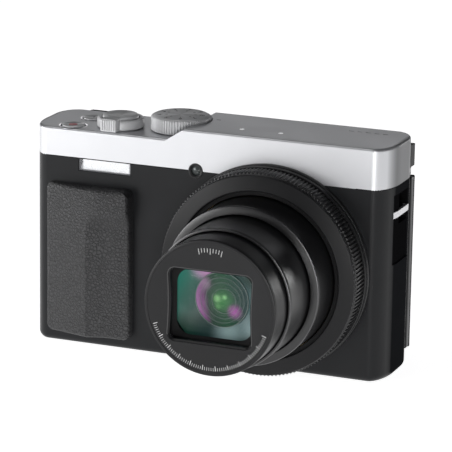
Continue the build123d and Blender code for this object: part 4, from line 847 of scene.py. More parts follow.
class CAMERA_OT_flash(bpy.types.Operator):
    """Makes the flash window with its ribs, tube and reflector, and the focus-assist lamp"""
    bl_idname = "camera.flash"
    bl_label = "Flash and lamp"

    def execute(self, context):
        low, high = box_mm("flash_window")
        bm = new_mesh()
        slab(bm, (low.x, low.y, low.z), (high.x, high.y - 0.2, high.z), 0.35)
        make_piece("flash_cover", bm, "window_glass", ROOT, ("flash_window",))

        frame_bm = new_mesh()
        lip = 0.22
        outer = (low.x - 0.05, high.x + 0.05, low.z - 0.05, high.z + 0.05)
        for x0, x1, z0, z1 in ((outer[0], outer[1], outer[2], outer[2] + lip),
                               (outer[0], outer[1], outer[3] - lip, outer[3]),
                               (outer[0], outer[0] + lip, outer[2], outer[3]),
                               (outer[1] - lip, outer[1], outer[2], outer[3])):
            slab(frame_bm, (x0, low.y + 0.25, z0), (x1, high.y + 0.4, z1), 0.08, 1)
        make_piece("flash_frame", frame_bm, "dark_plate", ROOT)

        split_x = low.x + 0.3 * (high.x - low.x)
        mirror = new_mesh()
        steps = 7
        depth = high.y + 2.6
        for number in range(steps):
            z0 = low.z + (high.z - low.z) * number / steps
            z1 = low.z + (high.z - low.z) * (number + 1) / steps
            slab(mirror, (split_x, depth - 0.9 + 0.3 * abs(number - 3), z0), (high.x, depth + 1, z1), 0.06, 1)
        make_piece("flash_reflector", mirror, "reflector", ROOT)
        sensor = new_mesh()
        slab(sensor, (low.x, depth - 0.8, low.z), (split_x - 0.1, depth + 1, high.z), 0.1, 1)
        slab(sensor, (low.x + 0.8, depth - 1.6, low.z + 0.9), (low.x + 2.6, depth - 0.7, high.z - 0.9), 0.2)
        make_piece("flash_ready_sensor", sensor, "dark_plate", ROOT)
        tube = new_mesh()
        turned(tube, [(0, split_x + 0.4), (0.55, split_x + 0.4), (0.55, high.x - 0.4), (0, high.x - 0.4)],
               (0, depth - 1.3, (low.z + high.z) / 2), "X", 20, closed=False)
        make_piece("flash_tube", tube, "print_white", ROOT)
        # The flash unit takes the reflector finish, with its painted glow.
        dress("reflector", "flash_unit")

        lamp = middle("assist_lamp_lens")
        radius = radius_of("assist_lamp_lens")
        ring = new_mesh()
        turned(ring, [(radius, FRONT_Y + 0.4), (radius, FRONT_Y - 0.18), (radius - 0.25, FRONT_Y - 0.22),
                      (radius - 0.75, FRONT_Y + 0.1), (radius - 0.8, FRONT_Y + 0.6),
                      (radius - 0.5, FRONT_Y + 1.5)],
               lamp, "Y", 48)
        make_piece("assist_lamp_ring", ring, "moulded_black", ROOT)
        glass = new_mesh()
        turned(glass, [(0, FRONT_Y + 0.1), (0.6, FRONT_Y + 0.16), (1.1, FRONT_Y + 0.36),
                       (radius - 0.7, FRONT_Y + 0.6), (radius - 0.7, FRONT_Y + 1.2), (0, FRONT_Y + 1.2)],
               lamp, "Y", 48, closed=False)
        make_piece("assist_lamp_dome", glass, lamp_glass(), ROOT, ("assist_lamp_lens",))
        return {"FINISHED"}


def lamp_glass():
    """Smoky glass of the focus-assist lamp, warmer towards its lower half, with two painted highlights and a
    faint painted glow.
    """
    return glass_with_painted_reflections("lamp_glass", middle("assist_lamp_lens"), (0, 0, 1), 1.6,
                        [(0.2, (0.03, 0.035, 0.035)), (0.6, (0.035, 0.04, 0.04)),
                         (0.9, (0.05, 0.055, 0.055))], 0.2, 0.3,
                        (((-0.4, 0.5), 0.6, (0.2, 0.22, 0.22)), ((0.5, -0.5), 0.4, (0.12, 0.13, 0.13))))


# ---------------------------------------------------------------- lens

class CAMERA_OT_lens_mount(bpy.types.Operator):
    """Turns the fixed collar and tube, and the bezel in front of the control ring"""
    bl_idname = "camera.lens_mount"
    bl_label = "Lens mount and bezel"

    def execute(self, context):
        count = context.scene.camera_lens.segments
        low, high = box_mm("lens_housing")
        collar_r = (high.x - low.x) / 2
        ring_low, ring_high = box_mm("control_ring")
        bezel_low, bezel_high = box_mm("lens_bezel")
        bezel_r = (bezel_high.x - bezel_low.x) / 2
        flange_y = ring_high.y + 0.3
        tube_r, bore_r = collar_r - 3.2, collar_r - 5.5
        bm = new_mesh()
        turned(bm, [
            (bore_r, high.y), (tube_r, high.y), (tube_r, FRONT_Y + 0.2), (collar_r - 0.1, FRONT_Y + 0.2),
            (collar_r, FRONT_Y - 0.1), (collar_r, FRONT_Y - 1.25), (collar_r - 0.14, FRONT_Y - 1.45),
            (collar_r - 0.75, FRONT_Y - 1.5), (collar_r - 0.75, FRONT_Y - 1.85),
            (collar_r - 0.32, FRONT_Y - 1.9),
            (collar_r - 0.3, flange_y + 0.14), (collar_r - 0.44, flange_y), (tube_r, flange_y),
            (tube_r, ring_low.y - 0.3), (bore_r, ring_low.y - 0.3)], LENS, "Y", count)
        make_piece("lens_collar", bm, "ring_black", ROOT, ("lens_housing",))

        front = bezel_low.y
        bore = bezel_r - 4.7
        rear = ring_low.y - 0.3
        bezel = new_mesh()
        turned(bezel, [
            (bore, rear), (bezel_r - 0.15, rear), (bezel_r, rear - 0.1), (bezel_r - 0.06, rear - 0.2),
            (bezel_r - 0.24, rear - 0.3), (bezel_r - 0.32, rear - 0.325), (bore + 0.5, front + 0.02),
            (bore + 0.4, front), (bore + 0.14, front + 0.06), (bore, front + 0.3)], LENS, "Y", count)
        make_piece("bezel_ring", bezel, "bezel_lacquer", ROOT, ("lens_bezel",))
        barrel_r = radius_of("outer_barrel")
        edge_line("bezel_edge", bezel_r - 0.08, rear - 0.13, ROOT)
        seal = new_mesh()
        turned(seal, [(barrel_r + 0.3, rear + 0.2), (barrel_r + 0.45, rear), (bore_r, rear),
                      (bore_r, rear + 1.2), (barrel_r + 0.3, rear + 1.2)], LENS, "Y", count)
        make_piece("barrel_dust_seal", seal, "matt_black", ROOT)
        return {"FINISHED"}


class CAMERA_OT_control_ring(bpy.types.Operator):
    """Cuts the control ring with its fine ribs"""
    bl_idname = "camera.control_ring"
    bl_label = "Control ring"

    def execute(self, context):
        settings = context.scene.camera_lens
        teeth, depth = settings.ring_teeth, settings.tooth_depth
        low, high = box_mm("control_ring")
        radius = (high.x - low.x) / 2
        bore = radius - 2.6
        front, rear = low.y, high.y
        plain = radius - depth - 0.1
        bm = new_mesh()
        looped(bm, teeth * 4,
               circle_y(bore, rear), circle_y(plain - 0.1, rear), circle_y(plain, rear - 0.25),
               ribbed_y(radius - 0.12, depth, teeth, rear - 0.3), ribbed_y(radius, depth, teeth, rear - 0.5),
               ribbed_y(radius, depth, teeth, front + 0.85),
               ribbed_y(radius - 0.12, depth, teeth, front + 0.65),
               circle_y(plain, front + 0.6), circle_y(plain, front + 0.15), circle_y(plain - 0.15, front),
               circle_y(bore, front))
        make_piece("control_ring_ribs", bm, "ring_black", "control_ring", ("control_ring",))
        return {"FINISHED"}


def edge_line(name, radius, y, body):
    """The thin polished line round a machined edge of the lens."""
    bm = new_mesh()
    turned(bm, [(radius + 0.075, y + 0.06), (radius + 0.04, y - 0.05), (radius - 0.05, y - 0.08),
                (radius - 0.12, y + 0.06)], LENS, "Y", 192)
    make_piece(name, bm, "edge_polish", body)


def barrel_piece(name, node, inner_r, lip_r, count, body, collar=0.0):
    """A polished barrel with a rounded front edge, a thin bright line behind it and a turned-in lip."""
    low, high = box_mm(node)
    front = low.y
    bm = new_mesh()
    radius = collar
    turned(bm, [
        (inner_r, high.y), (radius - 0.1, high.y), (radius, high.y - 0.1), (radius, front + 1.05),
        (radius - 0.07, front + 0.98), (radius - 0.07, front + 0.86), (radius, front + 0.8),
        (radius, front + 0.32), (radius - 0.1, front + 0.1), (radius - 0.32, front), (lip_r + 0.25, front),
        (lip_r, front + 0.22), (lip_r, front + 1.0), (inner_r, front + 1.0)], LENS, "Y", count)
    return make_piece(name, bm, "barrel_lacquer", body, (node,))


class CAMERA_OT_barrels(bpy.types.Operator):
    """Turns the outer and middle barrels"""
    bl_idname = "camera.barrels"
    bl_label = "Outer and middle barrels"

    def execute(self, context):
        count = context.scene.camera_lens.segments
        outer_low, outer_high = box_mm("outer_barrel")
        outer_r = (outer_high.x - outer_low.x) / 2
        front_r = radius_of("front_barrel")
        middle_r = front_r + 1.0
        barrel_piece("outer_barrel_skin", "outer_barrel", outer_r - 1.8, middle_r + 0.3, count,
                     "outer_barrel", outer_r)
        edge_line("outer_barrel_edge", outer_r - 0.16, outer_low.y + 0.13, "outer_barrel")
        low, high = box_mm("middle_barrel")
        bm = new_mesh()
        front, bore = low.y, middle_r - 0.75
        edge_line("middle_barrel_edge", middle_r - 0.14, front + 0.11, "middle_barrel")
        turned(bm, [
            (bore, high.y), (outer_r - 2.2, high.y), (outer_r - 2.2, high.y - 1.4), (middle_r, high.y - 1.5),
            (middle_r, front + 1.05), (middle_r - 0.06, front + 0.98), (middle_r - 0.06, front + 0.86),
            (middle_r, front + 0.8), (middle_r, front + 0.25), (middle_r - 0.1, front + 0.08),
            (middle_r - 0.25, front), (bore + 0.1, front), (bore, front + 0.1)], LENS, "Y", count)
        make_piece("middle_barrel_skin", bm, "barrel_lacquer", "middle_barrel",
                   ("middle_barrel",))
        return {"FINISHED"}


class CAMERA_OT_front_barrel(bpy.types.Operator):
    """Makes the front barrel with its window, the scale marks and the baffle behind the window"""
    bl_idname = "camera.front_barrel"
    bl_label = "Front barrel"

    def execute(self, context):
        low, high = box_mm("front_barrel")
        front, rear = low.y, high.y
        radius = (high.x - low.x) / 2
        bore = radius - 0.9
        half_w, half_h, corner = 12.35, 10.15, 2.0
        count = 192
        bm = new_mesh()
        looped(bm, count,
               circle_y(bore, rear), circle_y(radius - 0.1, rear), circle_y(radius, rear - 0.1),
               circle_y(radius, front + 1.25), circle_y(radius - 0.05, front + 1.2),
               circle_y(radius - 0.05, front + 1.1), circle_y(radius, front + 1.05),
               circle_y(radius, front + 0.3), circle_y(radius - 0.09, front + 0.1),
               circle_y(radius - 0.3, front), circle_y(radius - 0.85, front),
               circle_y(radius - 0.95, front + 0.12), circle_y(radius - 1.25, front + 0.12),
               window_loop(half_w + 0.75, half_h + 0.75, corner + 0.75, front + 0.12, 0.55),
               window_loop(half_w + 0.55, half_h + 0.55, corner + 0.55, front + 0.16, 0.55),
               window_loop(half_w, half_h, corner, front + 0.75, 0.55),
               window_loop(half_w, half_h, corner, front + 1.8, 0.55),
               circle_y(bore, front + 1.8))
        make_piece("front_barrel_skin", bm, "name_ring", "front_barrel", ("front_barrel",))

        trim = new_mesh()
        looped(trim, count,
               window_loop(half_w + 0.62, half_h + 0.62, corner + 0.62, front + 0.09, 0.55),
               window_loop(half_w + 0.40, half_h + 0.40, corner + 0.40, front + 0.22, 0.55),
               window_loop(half_w + 0.40, half_h + 0.40, corner + 0.40, front + 0.45, 0.55),
               window_loop(half_w + 0.62, half_h + 0.62, corner + 0.62, front + 0.45, 0.55))
        make_piece("window_edge", trim, "polished_black", "front_barrel")

        self.marks(front)
        self.baffle(half_w, half_h, corner)
        return {"FINISHED"}

    def marks(self, front):
        """Fine scale ticks round the lower arc, and a short group over the window."""
        bm = new_mesh()
        face = front + 0.12
        arc_ticks, arc_start, arc_step = 67, 111, 2.1
        top_ticks, top_step = 9, 3.0

        def tick(angle, inner, outer, width):
            verts = slab(bm, (-width / 2, face - 0.03, inner), (width / 2, face + 0.1, outer))
            turn = Matrix.Rotation(-radians(angle), 4, "Y")
            bmesh.ops.transform(bm, matrix=Matrix.Translation((LENS.x, 0, LENS.z)) @ turn, verts=verts)

        for number in range(arc_ticks):
            angle = arc_start + number * arc_step
            major = number % 6 == 0
            tick(angle, 16.6 if major else 17.05, 18.0, 0.2 if major else 0.12)
        for number in range(top_ticks):
            inner = 15.4 if number % 4 == 0 else 15.9
            tick((number - top_ticks // 2) * top_step, inner, 17.1, 0.16)
        make_piece("scale_marks", bm, "print_white", "front_barrel", smooth=False)

    def baffle(self, half_w, half_h, corner):
        """The black mask behind the window, stepping down to the round of the front glass."""
        low, high = box_mm("front_cell")
        count = 96
        bm = new_mesh()
        glass_r = 14.45
        looped(bm, count,
               window_loop(half_w + 0.5, half_h + 0.5, corner + 0.4, low.y), circle_y(18.5, low.y),
               circle_y(18.5, high.y), circle_y(glass_r, high.y), circle_y(glass_r, low.y + 1.0),
               window_loop(half_w - 1.1, half_h - 0.7, corner + 2.0, low.y + 0.9))
        make_piece("window_baffle", bm, "matt_black", "front_barrel", ("front_cell",))


def domed(radius, start, rise, steps):
    """The profile of a shallow dome: a slice of the ball that meets the rim's radius at this rise."""
    ball = (radius ** 2 + rise ** 2) / (2 * rise)
    spans = [radius * step / steps for step in range(steps + 1)]
    return [(span, start + ball - (ball ** 2 - span ** 2) ** 0.5) for span in spans]


class CAMERA_OT_glass(bpy.types.Operator):
    """Grinds the front glass and lays out the elements behind it, painted with reflections and glow, and the
    stepped rings with their painted glint
    """
    bl_idname = "camera.glass"
    bl_label = "Lens glass"

    def execute(self, context):
        apex = box_mm("front_element")[0].y
        body = "front_barrel"
        dome = new_mesh()
        dome_r, rise = 14.4, 2.2
        profile = domed(dome_r, apex, rise, 12)
        profile += [(dome_r, apex + rise + 0.5), (0, apex + rise + 0.3)]
        turned(dome, profile, LENS, "Y", 96, closed=False)
        make_piece("front_glass_dome", dome, "front_glass", body, ("front_element",))

        bowl = new_mesh()
        turned(bowl, [(14.3, apex + 3.0), (12.5, apex + 3.5), (10.2, apex + 4.3), (8.1, apex + 5.2),
                      (8.1, apex + 6.8), (14.3, apex + 6.8)], LENS, "Y", 96)
        make_piece("front_cell_bowl", bowl, self.bowl_glass(apex), body)

        # Thin rims inside the lens, with a painted glint that glows.
        rim = new_mesh()
        for radius, drift, depth in ((7.9, 0.0, 4.75), (6.5, 0.25, 4.62), (5.2, 0.5, 4.52), (3.6, 0.8, 4.46)):
            spot = (LENS.x + drift, 0, LENS.z - drift * 0.2)
            half = 0.09 if radius > 7 else 0.045
            turned(rim, [(radius + half, apex + depth + 0.1), (radius + half * 0.6, apex + depth),
                         (radius - half * 0.6, apex + depth), (radius - half, apex + depth + 0.1),
                         (radius - half, apex + depth + 0.2), (radius + half, apex + depth + 0.2)],
                   spot, "Y", 96)
        make_piece("inner_cell_rims", rim, "rim_painted_glint", body)
        inner = new_mesh()
        inner_r = 7.85
        profile = domed(inner_r, apex + 4.7, 0.5, 10)
        profile += [(inner_r, apex + 6.6), (0, apex + 6.6)]
        turned(inner, profile, LENS, "Y", 96, closed=False)
        make_piece("inner_element", inner, self.inner_glass(apex), body)
        return {"FINISHED"}

    def bowl_glass(self, apex):
        """Painted reflections: teal on the left, dark green below it, lilac at the top, a pale grey-blue band
        low on the right.
        """
        drift = [(0.06, (0.01, 0.13, 0.095)), (0.2, (0.02, 0.085, 0.065)), (0.38, (0.008, 0.03, 0.025)),
                 (0.62, (0.01, 0.025, 0.025)), (0.8, (0.05, 0.09, 0.093)), (0.98, (0.014, 0.035, 0.035))]
        painted_spots = (((-4.7, 8.9), 5.6, (0.4, 0.2, 0.38)), ((-1.5, 10.5), 3.6, (0.2, 0.1, 0.2)),
                 ((-10.5, -8.5), 5.5, (0.006, 0.03, 0.02)), ((2.0, -9.5), 6.0, (0.15, 0.22, 0.22)),
                 ((9.0, -7.0), 5.0, (0.1, 0.16, 0.165)), ((9.5, 7.5), 7.0, (0.012, 0.028, 0.022)))
        return glass_with_painted_reflections("bowl_painted_reflections", (LENS.x, apex, LENS.z), (1, 0, -0.35), 14, drift,
                            0.4, 0.75, painted_spots)

    def inner_glass(self, apex):
        """Painted reflections: purple inside the left rim, dark green with pale painted sheens in the middle,
        magenta low on the right.
        """
        drift = [(0.03, (0.3, 0.15, 0.3)), (0.19, (0.15, 0.06, 0.15)), (0.3, (0.015, 0.035, 0.025)),
                 (0.6, (0.012, 0.05, 0.026)), (0.85, (0.012, 0.04, 0.03)), (1.0, (0.01, 0.03, 0.03))]
        painted_spots = (((0.2, -0.2), 4.6, (0.03, 0.13, 0.04)), ((-1.3, 0.3), 1.7, (0.16, 0.34, 0.14)),
                 ((0.9, 0.9), 1.1, (0.17, 0.36, 0.16)), ((-1.0, -1.9), 1.3, (0.07, 0.2, 0.07)),
                 ((3.9, -3.0), 3.0, (0.24, 0.07, 0.23)), ((-5.4, 4.2), 3.0, (0.2, 0.13, 0.2)))
        return glass_with_painted_reflections("inner_painted_reflections", (LENS.x, apex, LENS.z), (1, 0, 0.15), 7.8, drift,
                            0.3, 0.75, painted_spots)


# ---------------------------------------------------------------- controls

class CAMERA_OT_mode_dial(bpy.types.Operator):
    """Knurls the mode dial, faces its top and sets the numbers round it"""
    bl_idname = "camera.mode_dial"
    bl_label = "Mode dial"

    def execute(self, context):
        ribs = context.scene.camera_controls.dial_ribs
        top = DIAL_HIGH.z - 0.05
        foot = DECK_Z + 0.3
        radius = (DIAL_HIGH.x - DIAL_LOW.x) / 2
        bm = new_mesh()
        looped(bm, ribs * 4,
               circle_z(2.5, DIAL_LOW.z, DIAL), circle_z(2.5, foot, DIAL), circle_z(radius - 0.5, foot, DIAL),
               ribbed_z(radius - 0.15, 0.3, ribs, foot + 0.1, DIAL),
               ribbed_z(radius, 0.38, ribs, foot + 0.5, DIAL), ribbed_z(radius, 0.38, ribs, top - 0.75, DIAL),
               ribbed_z(radius - 0.25, 0.28, ribs, top - 0.4, DIAL),
               circle_z(radius - 0.62, top - 0.34, DIAL), circle_z(radius - 0.9, top - 0.1, DIAL),
               circle_z(radius - 1.1, top, DIAL), close="cap")
        make_piece("mode_dial_knob", bm, "dial_top", "mode_dial", ("mode_dial",))
        marks = new_mesh()
        for number in range(9):
            angle = 40 * number
            digit = text_mesh(str(number + 1), 2.3)
            turn = Matrix.Rotation(radians(angle), 4, "Z")
            place = (Matrix.Translation((DIAL.x, DIAL.y, top + 0.005)) @ turn
                     @ Matrix.Translation((0, radius - 2.7, 0)))
            add_placed(marks, digit, place)
            digit.free()
            verts = slab(marks, (-0.12, radius - 4.9, top - 0.02), (0.12, radius - 4.2, top + 0.03))
            bmesh.ops.transform(marks, matrix=Matrix.Translation((DIAL.x, DIAL.y, 0)) @ turn, verts=verts)
        make_piece("mode_dial_numbers", marks, "print_dark", "mode_dial", smooth=False)
        pointer = new_mesh()
        slab(pointer, (DIAL.x + radius + 1.0, DIAL.y + 3.2, TOP_Z - 0.05),
             (DIAL.x + radius + 2.3, DIAL.y + 3.6, TOP_Z + 0.02))
        make_piece("dial_pointer", pointer, "print_dark", ROOT)
        return {"FINISHED"}


class CAMERA_OT_shutter(bpy.types.Operator):
    """Makes the zoom lever with its ribbed tab and the dished shutter button"""
    bl_idname = "camera.shutter"
    bl_label = "Zoom lever and shutter button"

    def execute(self, context):
        deck = DECK_Z + 0.3
        ring_top = DECK_Z + 3.1
        lever_r = (LEVER_HIGH.x - LEVER_LOW.x) / 2
        button_low, button_high = box_mm("shutter_button")
        button_r = (button_high.x - button_low.x) / 2
        inner = button_r + 0.3
        lever = new_mesh()
        turned(lever, [
            (4.6, deck - 2.5), (5.5, deck - 2.5), (5.5, deck), (lever_r - 0.2, deck), (lever_r, deck + 0.2),
            (lever_r, ring_top - 0.7), (lever_r - 0.15, ring_top - 0.3), (lever_r - 0.5, ring_top),
            (inner + 0.15, ring_top), (inner, ring_top - 0.2), (inner, deck + 0.6), (4.6, deck + 0.6)],
            SHUTTER, "Z", 96)
        make_piece("zoom_lever_ring", lever, "shutter_metal", "zoom_lever", ("zoom_lever",))
        tab = new_mesh()
        width = 5.1
        reach = LEVER_LOW.y
        tab_top = LEVER_HIGH.z
        slab(tab, (SHUTTER.x - width / 2, reach + 0.25, deck),
             (SHUTTER.x + width / 2, SHUTTER.y - inner - 0.4, tab_top), 0.5, 3)
        for number in range(6):
            x = SHUTTER.x - width / 2 + 0.75 + number * (width - 1.5) / 5
            slab(tab, (x - 0.2, reach, deck + 0.5), (x + 0.2, reach + 0.6, tab_top - 0.35), 0.12, 2)
            slab(tab, (x - 0.2, reach + 0.4, tab_top - 0.4), (x + 0.2, SHUTTER.y - inner - 0.7, tab_top),
                 0.12, 2)
        make_piece("zoom_lever_tab", tab, "shutter_metal", "zoom_lever")
        button = new_mesh()
        top = SHUTTER_TOP
        turned(button, [
            (0, deck - 4), (2, deck - 4), (2, top - 2.4), (button_r - 0.1, top - 2.4), (button_r, top - 2.2),
            (button_r, top - 0.75), (button_r - 0.12, top - 0.35), (button_r - 0.5, top - 0.05),
            (button_r - 0.9, top),
            (3.4, top - 0.28), (2.0, top - 0.42), (0, top - 0.5)], SHUTTER, "Z", 72, closed=False)
        make_piece("shutter_button_cap", button, "shutter_metal", "shutter_button",
                   ("shutter_button",))
        return {"FINISHED"}


class CAMERA_OT_round_buttons(bpy.types.Operator):
    """Makes the record and power buttons with their trim rings, and the microphone rings"""
    bl_idname = "camera.round_buttons"
    bl_label = "Round buttons"

    def execute(self, context):
        for name, spot, metal in (("record_button", RECORD, "record_metal"),
                                  ("power_button", POWER, "power_metal")):
            low, high = box_mm(name)
            radius = (high.x - low.x) / 2
            top = high.z
            cap = new_mesh()
            turned(cap, [
                (0, low.z), (radius - 1.2, low.z), (radius - 1.2, DECK_Z - 0.35),
                (radius - 0.05, DECK_Z - 0.35), (radius, DECK_Z - 0.2), (radius, top - 0.35),
                (radius - 0.1, top - 0.12), (radius - 0.35, top), (radius - 0.8, top),
                (radius - 1.0, top - 0.1), (0, top - 0.32)], spot, "Z", 64, closed=False)
            make_piece(f"{name}_cap", cap, metal, name, (name,))
            ring = new_mesh()
            turned(ring, [
                (radius + 0.3, DECK_Z - 0.6), (radius + 0.32, DECK_Z + 0.02), (radius + 0.55, DECK_Z + 0.1),
                (radius + 0.85, DECK_Z + 0.08), (radius + 0.95, DECK_Z - 0.1)], spot, "Z", 64)
            make_piece(f"{name}_trim", ring, "chrome_trim", ROOT)
        dot = new_mesh()
        turned(dot, [(0, BUTTON_TOP - 0.1), (1.25, BUTTON_TOP - 0.12), (1.3, BUTTON_TOP - 0.4),
                     (0, BUTTON_TOP - 0.4)], RECORD, "Z", 32, closed=False)
        make_piece("record_dot", dot, "record_red", "record_button")
        sign = new_mesh()
        turned(sign, [(0.75, BUTTON_TOP - 0.24), (0.95, BUTTON_TOP - 0.22), (0.95, BUTTON_TOP - 0.35),
                      (0.75, BUTTON_TOP - 0.35)], POWER, "Z", 32)
        slab(sign, (POWER.x - 0.1, POWER.y + 0.2, BUTTON_TOP - 0.35),
             (POWER.x + 0.1, POWER.y + 1.25, BUTTON_TOP - 0.19))
        make_piece("power_sign", sign, "print_dark", "power_button")
        # The microphone rings take a painted glint that glows by emission.
        mics = new_mesh()
        for x in (8.3, 20.3):
            turned(mics, [(0.4, TOP_Z - 0.3), (0.4, TOP_Z + 0.02), (0.62, TOP_Z + 0.05), (0.8, TOP_Z - 0.02),
                          (0.8, TOP_Z - 0.3)], (x, -5.5, 0), "Z", 24)
        make_piece("microphone_rings", mics, "mic_painted_glint", ROOT)
        return {"FINISHED"}


class CAMERA_OT_strap_lug(bpy.types.Operator):
    """Finishes the strap lug, with its bright bar, and the socket cover"""
    bl_idname = "camera.strap_lug"
    bl_label = "Strap lug"

    def execute(self, context):
        dress("lug_with_bar", "strap_lug")
        dress("flank_plastic", "port_cover")
        return {"FINISHED"}


class CAMERA_OT_monitor(bpy.types.Operator):
    """Makes the monitor's tray and cover glass, and dresses its hinge plate"""
    bl_idname = "camera.monitor"
    bl_label = "Monitor"

    def execute(self, context):
        low, high = box_mm("monitor_frame")
        rim = 1.4
        tray = new_mesh()
        slab(tray, low, (high.x, high.y - 0.9, high.z), 0.7, 3)
        make_piece("monitor_tray", tray, "casing_paint", "monitor", ("monitor_frame",))
        bezel = new_mesh()
        for a, b in (((low.x, low.z), (high.x, low.z + rim)), ((low.x, high.z - rim), (high.x, high.z)),
                     ((low.x, low.z), (low.x + rim, high.z)), ((high.x - rim, low.z), (high.x, high.z))):
            slab(bezel, (a[0], high.y - 1.2, a[1]), (b[0], high.y - 0.05, b[1]), 0.3, 2)
        make_piece("monitor_bezel", bezel, "casing_paint", "monitor")
        glass_low, glass_high = box_mm("monitor_glass")
        glass = new_mesh()
        slab(glass, glass_low, (glass_high.x, glass_high.y + 0.02, glass_high.z), 0.15, 2)
        make_piece("monitor_cover_glass", glass, "screen", "monitor", ("monitor_glass",))
        dress("dark_plate", "monitor_hinge_plate")
        return {"FINISHED"}


class CAMERA_OT_rear_controls(bpy.types.Operator):
    """Makes the thumb rest, the rear dial and the rear buttons"""
    bl_idname = "camera.rear_controls"
    bl_label = "Rear controls"

    def execute(self, context):
        low, high = box_mm("thumb_rest")
        rest = new_mesh()
        slab(rest, low, high, 1.5, 5)
        for number in range(7):
            z = low.z + 3.6 + number * 1.9
            slab(rest, (low.x + 2.2, high.y - 0.3, z), (high.x - 2.2, high.y + 0.12, z + 0.8), 0.18, 2)
        make_piece("thumb_rest_pad", rest, "soft_rubber", ROOT, ("thumb_rest",))

        dial_low, dial_high = box_mm("rear_dial")
        spot = middle("rear_dial")
        radius = (dial_high.x - dial_low.x) / 2
        ribs = 48
        dial = new_mesh()
        def rib(reach, depth, y):
            flat = ribbed_y(reach, depth, ribs, y)
            shift = Vector((spot.x - LENS.x, 0, spot.z - LENS.z))
            return lambda angle: flat(angle) + shift
        looped(dial, ribs * 4,
               circle_y(4.2, dial_low.y, spot), circle_y(radius - 0.4, dial_low.y, spot),
               rib(radius, 0.35, dial_low.y + 0.3), rib(radius, 0.35, dial_high.y - 0.6),
               circle_y(radius - 0.8, dial_high.y - 0.1, spot), circle_y(radius - 1.2, dial_high.y, spot),
               circle_y(4.9, dial_high.y - 0.25, spot), circle_y(4.2, dial_high.y - 0.35, spot))
        make_piece("rear_dial_ring", dial, "moulded_black", "rear_dial", ("rear_dial",))
        marks = new_mesh()
        for number in range(4):
            verts = slab(marks, (-0.55, dial_high.y - 0.2, 6.2), (0.55, dial_high.y + 0.0, 6.45))
            turn = Matrix.Translation((spot.x, 0, spot.z)) @ Matrix.Rotation(radians(90 * number), 4, "Y")
            bmesh.ops.transform(marks, matrix=turn, verts=verts)
        make_piece("rear_dial_marks", marks, "print_white", "rear_dial", smooth=False)
        for name in ("set_button", "playback_button", "function_button", "display_button", "delete_button",
                     "finder_button"):
            self.push_button(name)
        return {"FINISHED"}

    def push_button(self, name):
        """A round push button with a softly dished face."""
        low, high = box_mm(name)
        spot = middle(name)
        radius = (high.x - low.x) / 2 - 0.6
        top = high.y
        bm = new_mesh()
        turned(bm, [(0, low.y), (radius, low.y), (radius, top - 0.35), (radius - 0.12, top - 0.1),
                    (radius - 0.4, top), (radius * 0.5, top - 0.1), (0, top - 0.14)],
               spot, "Y", 48, closed=False)
        make_piece(f"{name}_cap", bm, "moulded_black", name, (name,))


class CAMERA_OT_finder(bpy.types.Operator):
    """Makes the eyepiece surround, its lens and the diopter dial"""
    bl_idname = "camera.finder"
    bl_label = "Finder eyepiece"

    def execute(self, context):
        dress("soft_rubber", "finder_eyepiece")
        low, high = box_mm("eyepiece_lens")
        lens = new_mesh()
        slab(lens, low, high, 0.5, 4)
        make_piece("eyepiece_glass_block", lens, "eyepiece_glass", ROOT, ("eyepiece_lens",))
        low, high = box_mm("finder_eyepiece")
        cup = new_mesh()
        centre = middle("eyepiece_lens")
        half_w, half_h = 7.4, 2.9
        def at(grow, y):
            def place(angle):
                reach = rounded_reach(angle, half_w + grow, half_h + grow, 2.0)
                return Vector((centre.x + reach * cos(angle), y, (low.z + high.z) / 2 + reach * sin(angle)))
            return place
        looped(cup, 72, at(-0.6, high.y - 1.0), at(-0.6, high.y - 0.05), at(-0.35, high.y + 0.1),
               at(0.0, high.y), at(0.15, high.y - 0.3), at(0.15, high.y - 1.0))
        make_piece("eyecup_lip", cup, "soft_rubber", ROOT)
        spot = middle("diopter_dial")
        low, high = box_mm("diopter_dial")
        radius = (high.x - low.x) / 2
        knob = new_mesh()
        shift = Vector((spot.x - LENS.x, 0, spot.z - LENS.z))
        def rib(reach, depth, y):
            flat = ribbed_y(reach, depth, 22, y)
            return lambda angle: flat(angle) + shift
        looped(knob, 88, circle_y(0.9, low.y, spot), circle_y(0.9, high.y - 0.85, spot),
               circle_y(radius - 0.2, high.y - 0.85, spot), rib(radius, 0.2, high.y - 0.75),
               rib(radius, 0.2, high.y - 0.15), circle_y(radius - 0.4, high.y, spot), close="cap")
        make_piece("diopter_knob", knob, "moulded_black", "diopter_dial", ("diopter_dial",))
        return {"FINISHED"}


class CAMERA_OT_fittings(bpy.types.Operator):
    """Dresses the bottom fittings and everything inside"""
    bl_idname = "camera.fittings"
    bl_label = "Bottom and inner fittings"

    def execute(self, context):
        dress("moulded_black", "battery_door", "door_latch", "battery_box", "finder_module", "memory_card")
        dress("plain_steel", "hinge_pins", "casing_screws", "tripod_bush", "zoom_motor", "data_sockets")
        dress("dark_plate", "main_chassis", "lens_base_plate")
        dress("solder_mask", "circuit_boards", "image_sensor")
        dress("cell_wrap", "battery")
        dress("gear_brass", "cam_ring", "idler_gear", "motor_pinion")
        dress("ring_black", "upper_inner_blade", "upper_outer_blade",
              "lower_inner_blade", "lower_outer_blade")
        dress("matt_black", "zoom_group", "focus_group")
        return {"FINISHED"}


# ---------------------------------------------------------------- stage

def soft_light(name, place, target, size, power, colour=(1, 1, 1)):
    """A rectangular soft light aimed at a point."""
    lamp = bpy.data.lights.new(name, "AREA")
    lamp.shape = "RECTANGLE"
    lamp.size, lamp.size_y = size
    lamp.energy = power
    lamp.color = colour
    made = bpy.data.objects.new(name, lamp)
    bpy.context.scene.collection.objects.link(made)
    made.location = place
    aim = Vector(target) - Vector(place)
    made.rotation_mode = "QUATERNION"
    made.rotation_quaternion = aim.to_track_quat("-Z", "Y")
    return made


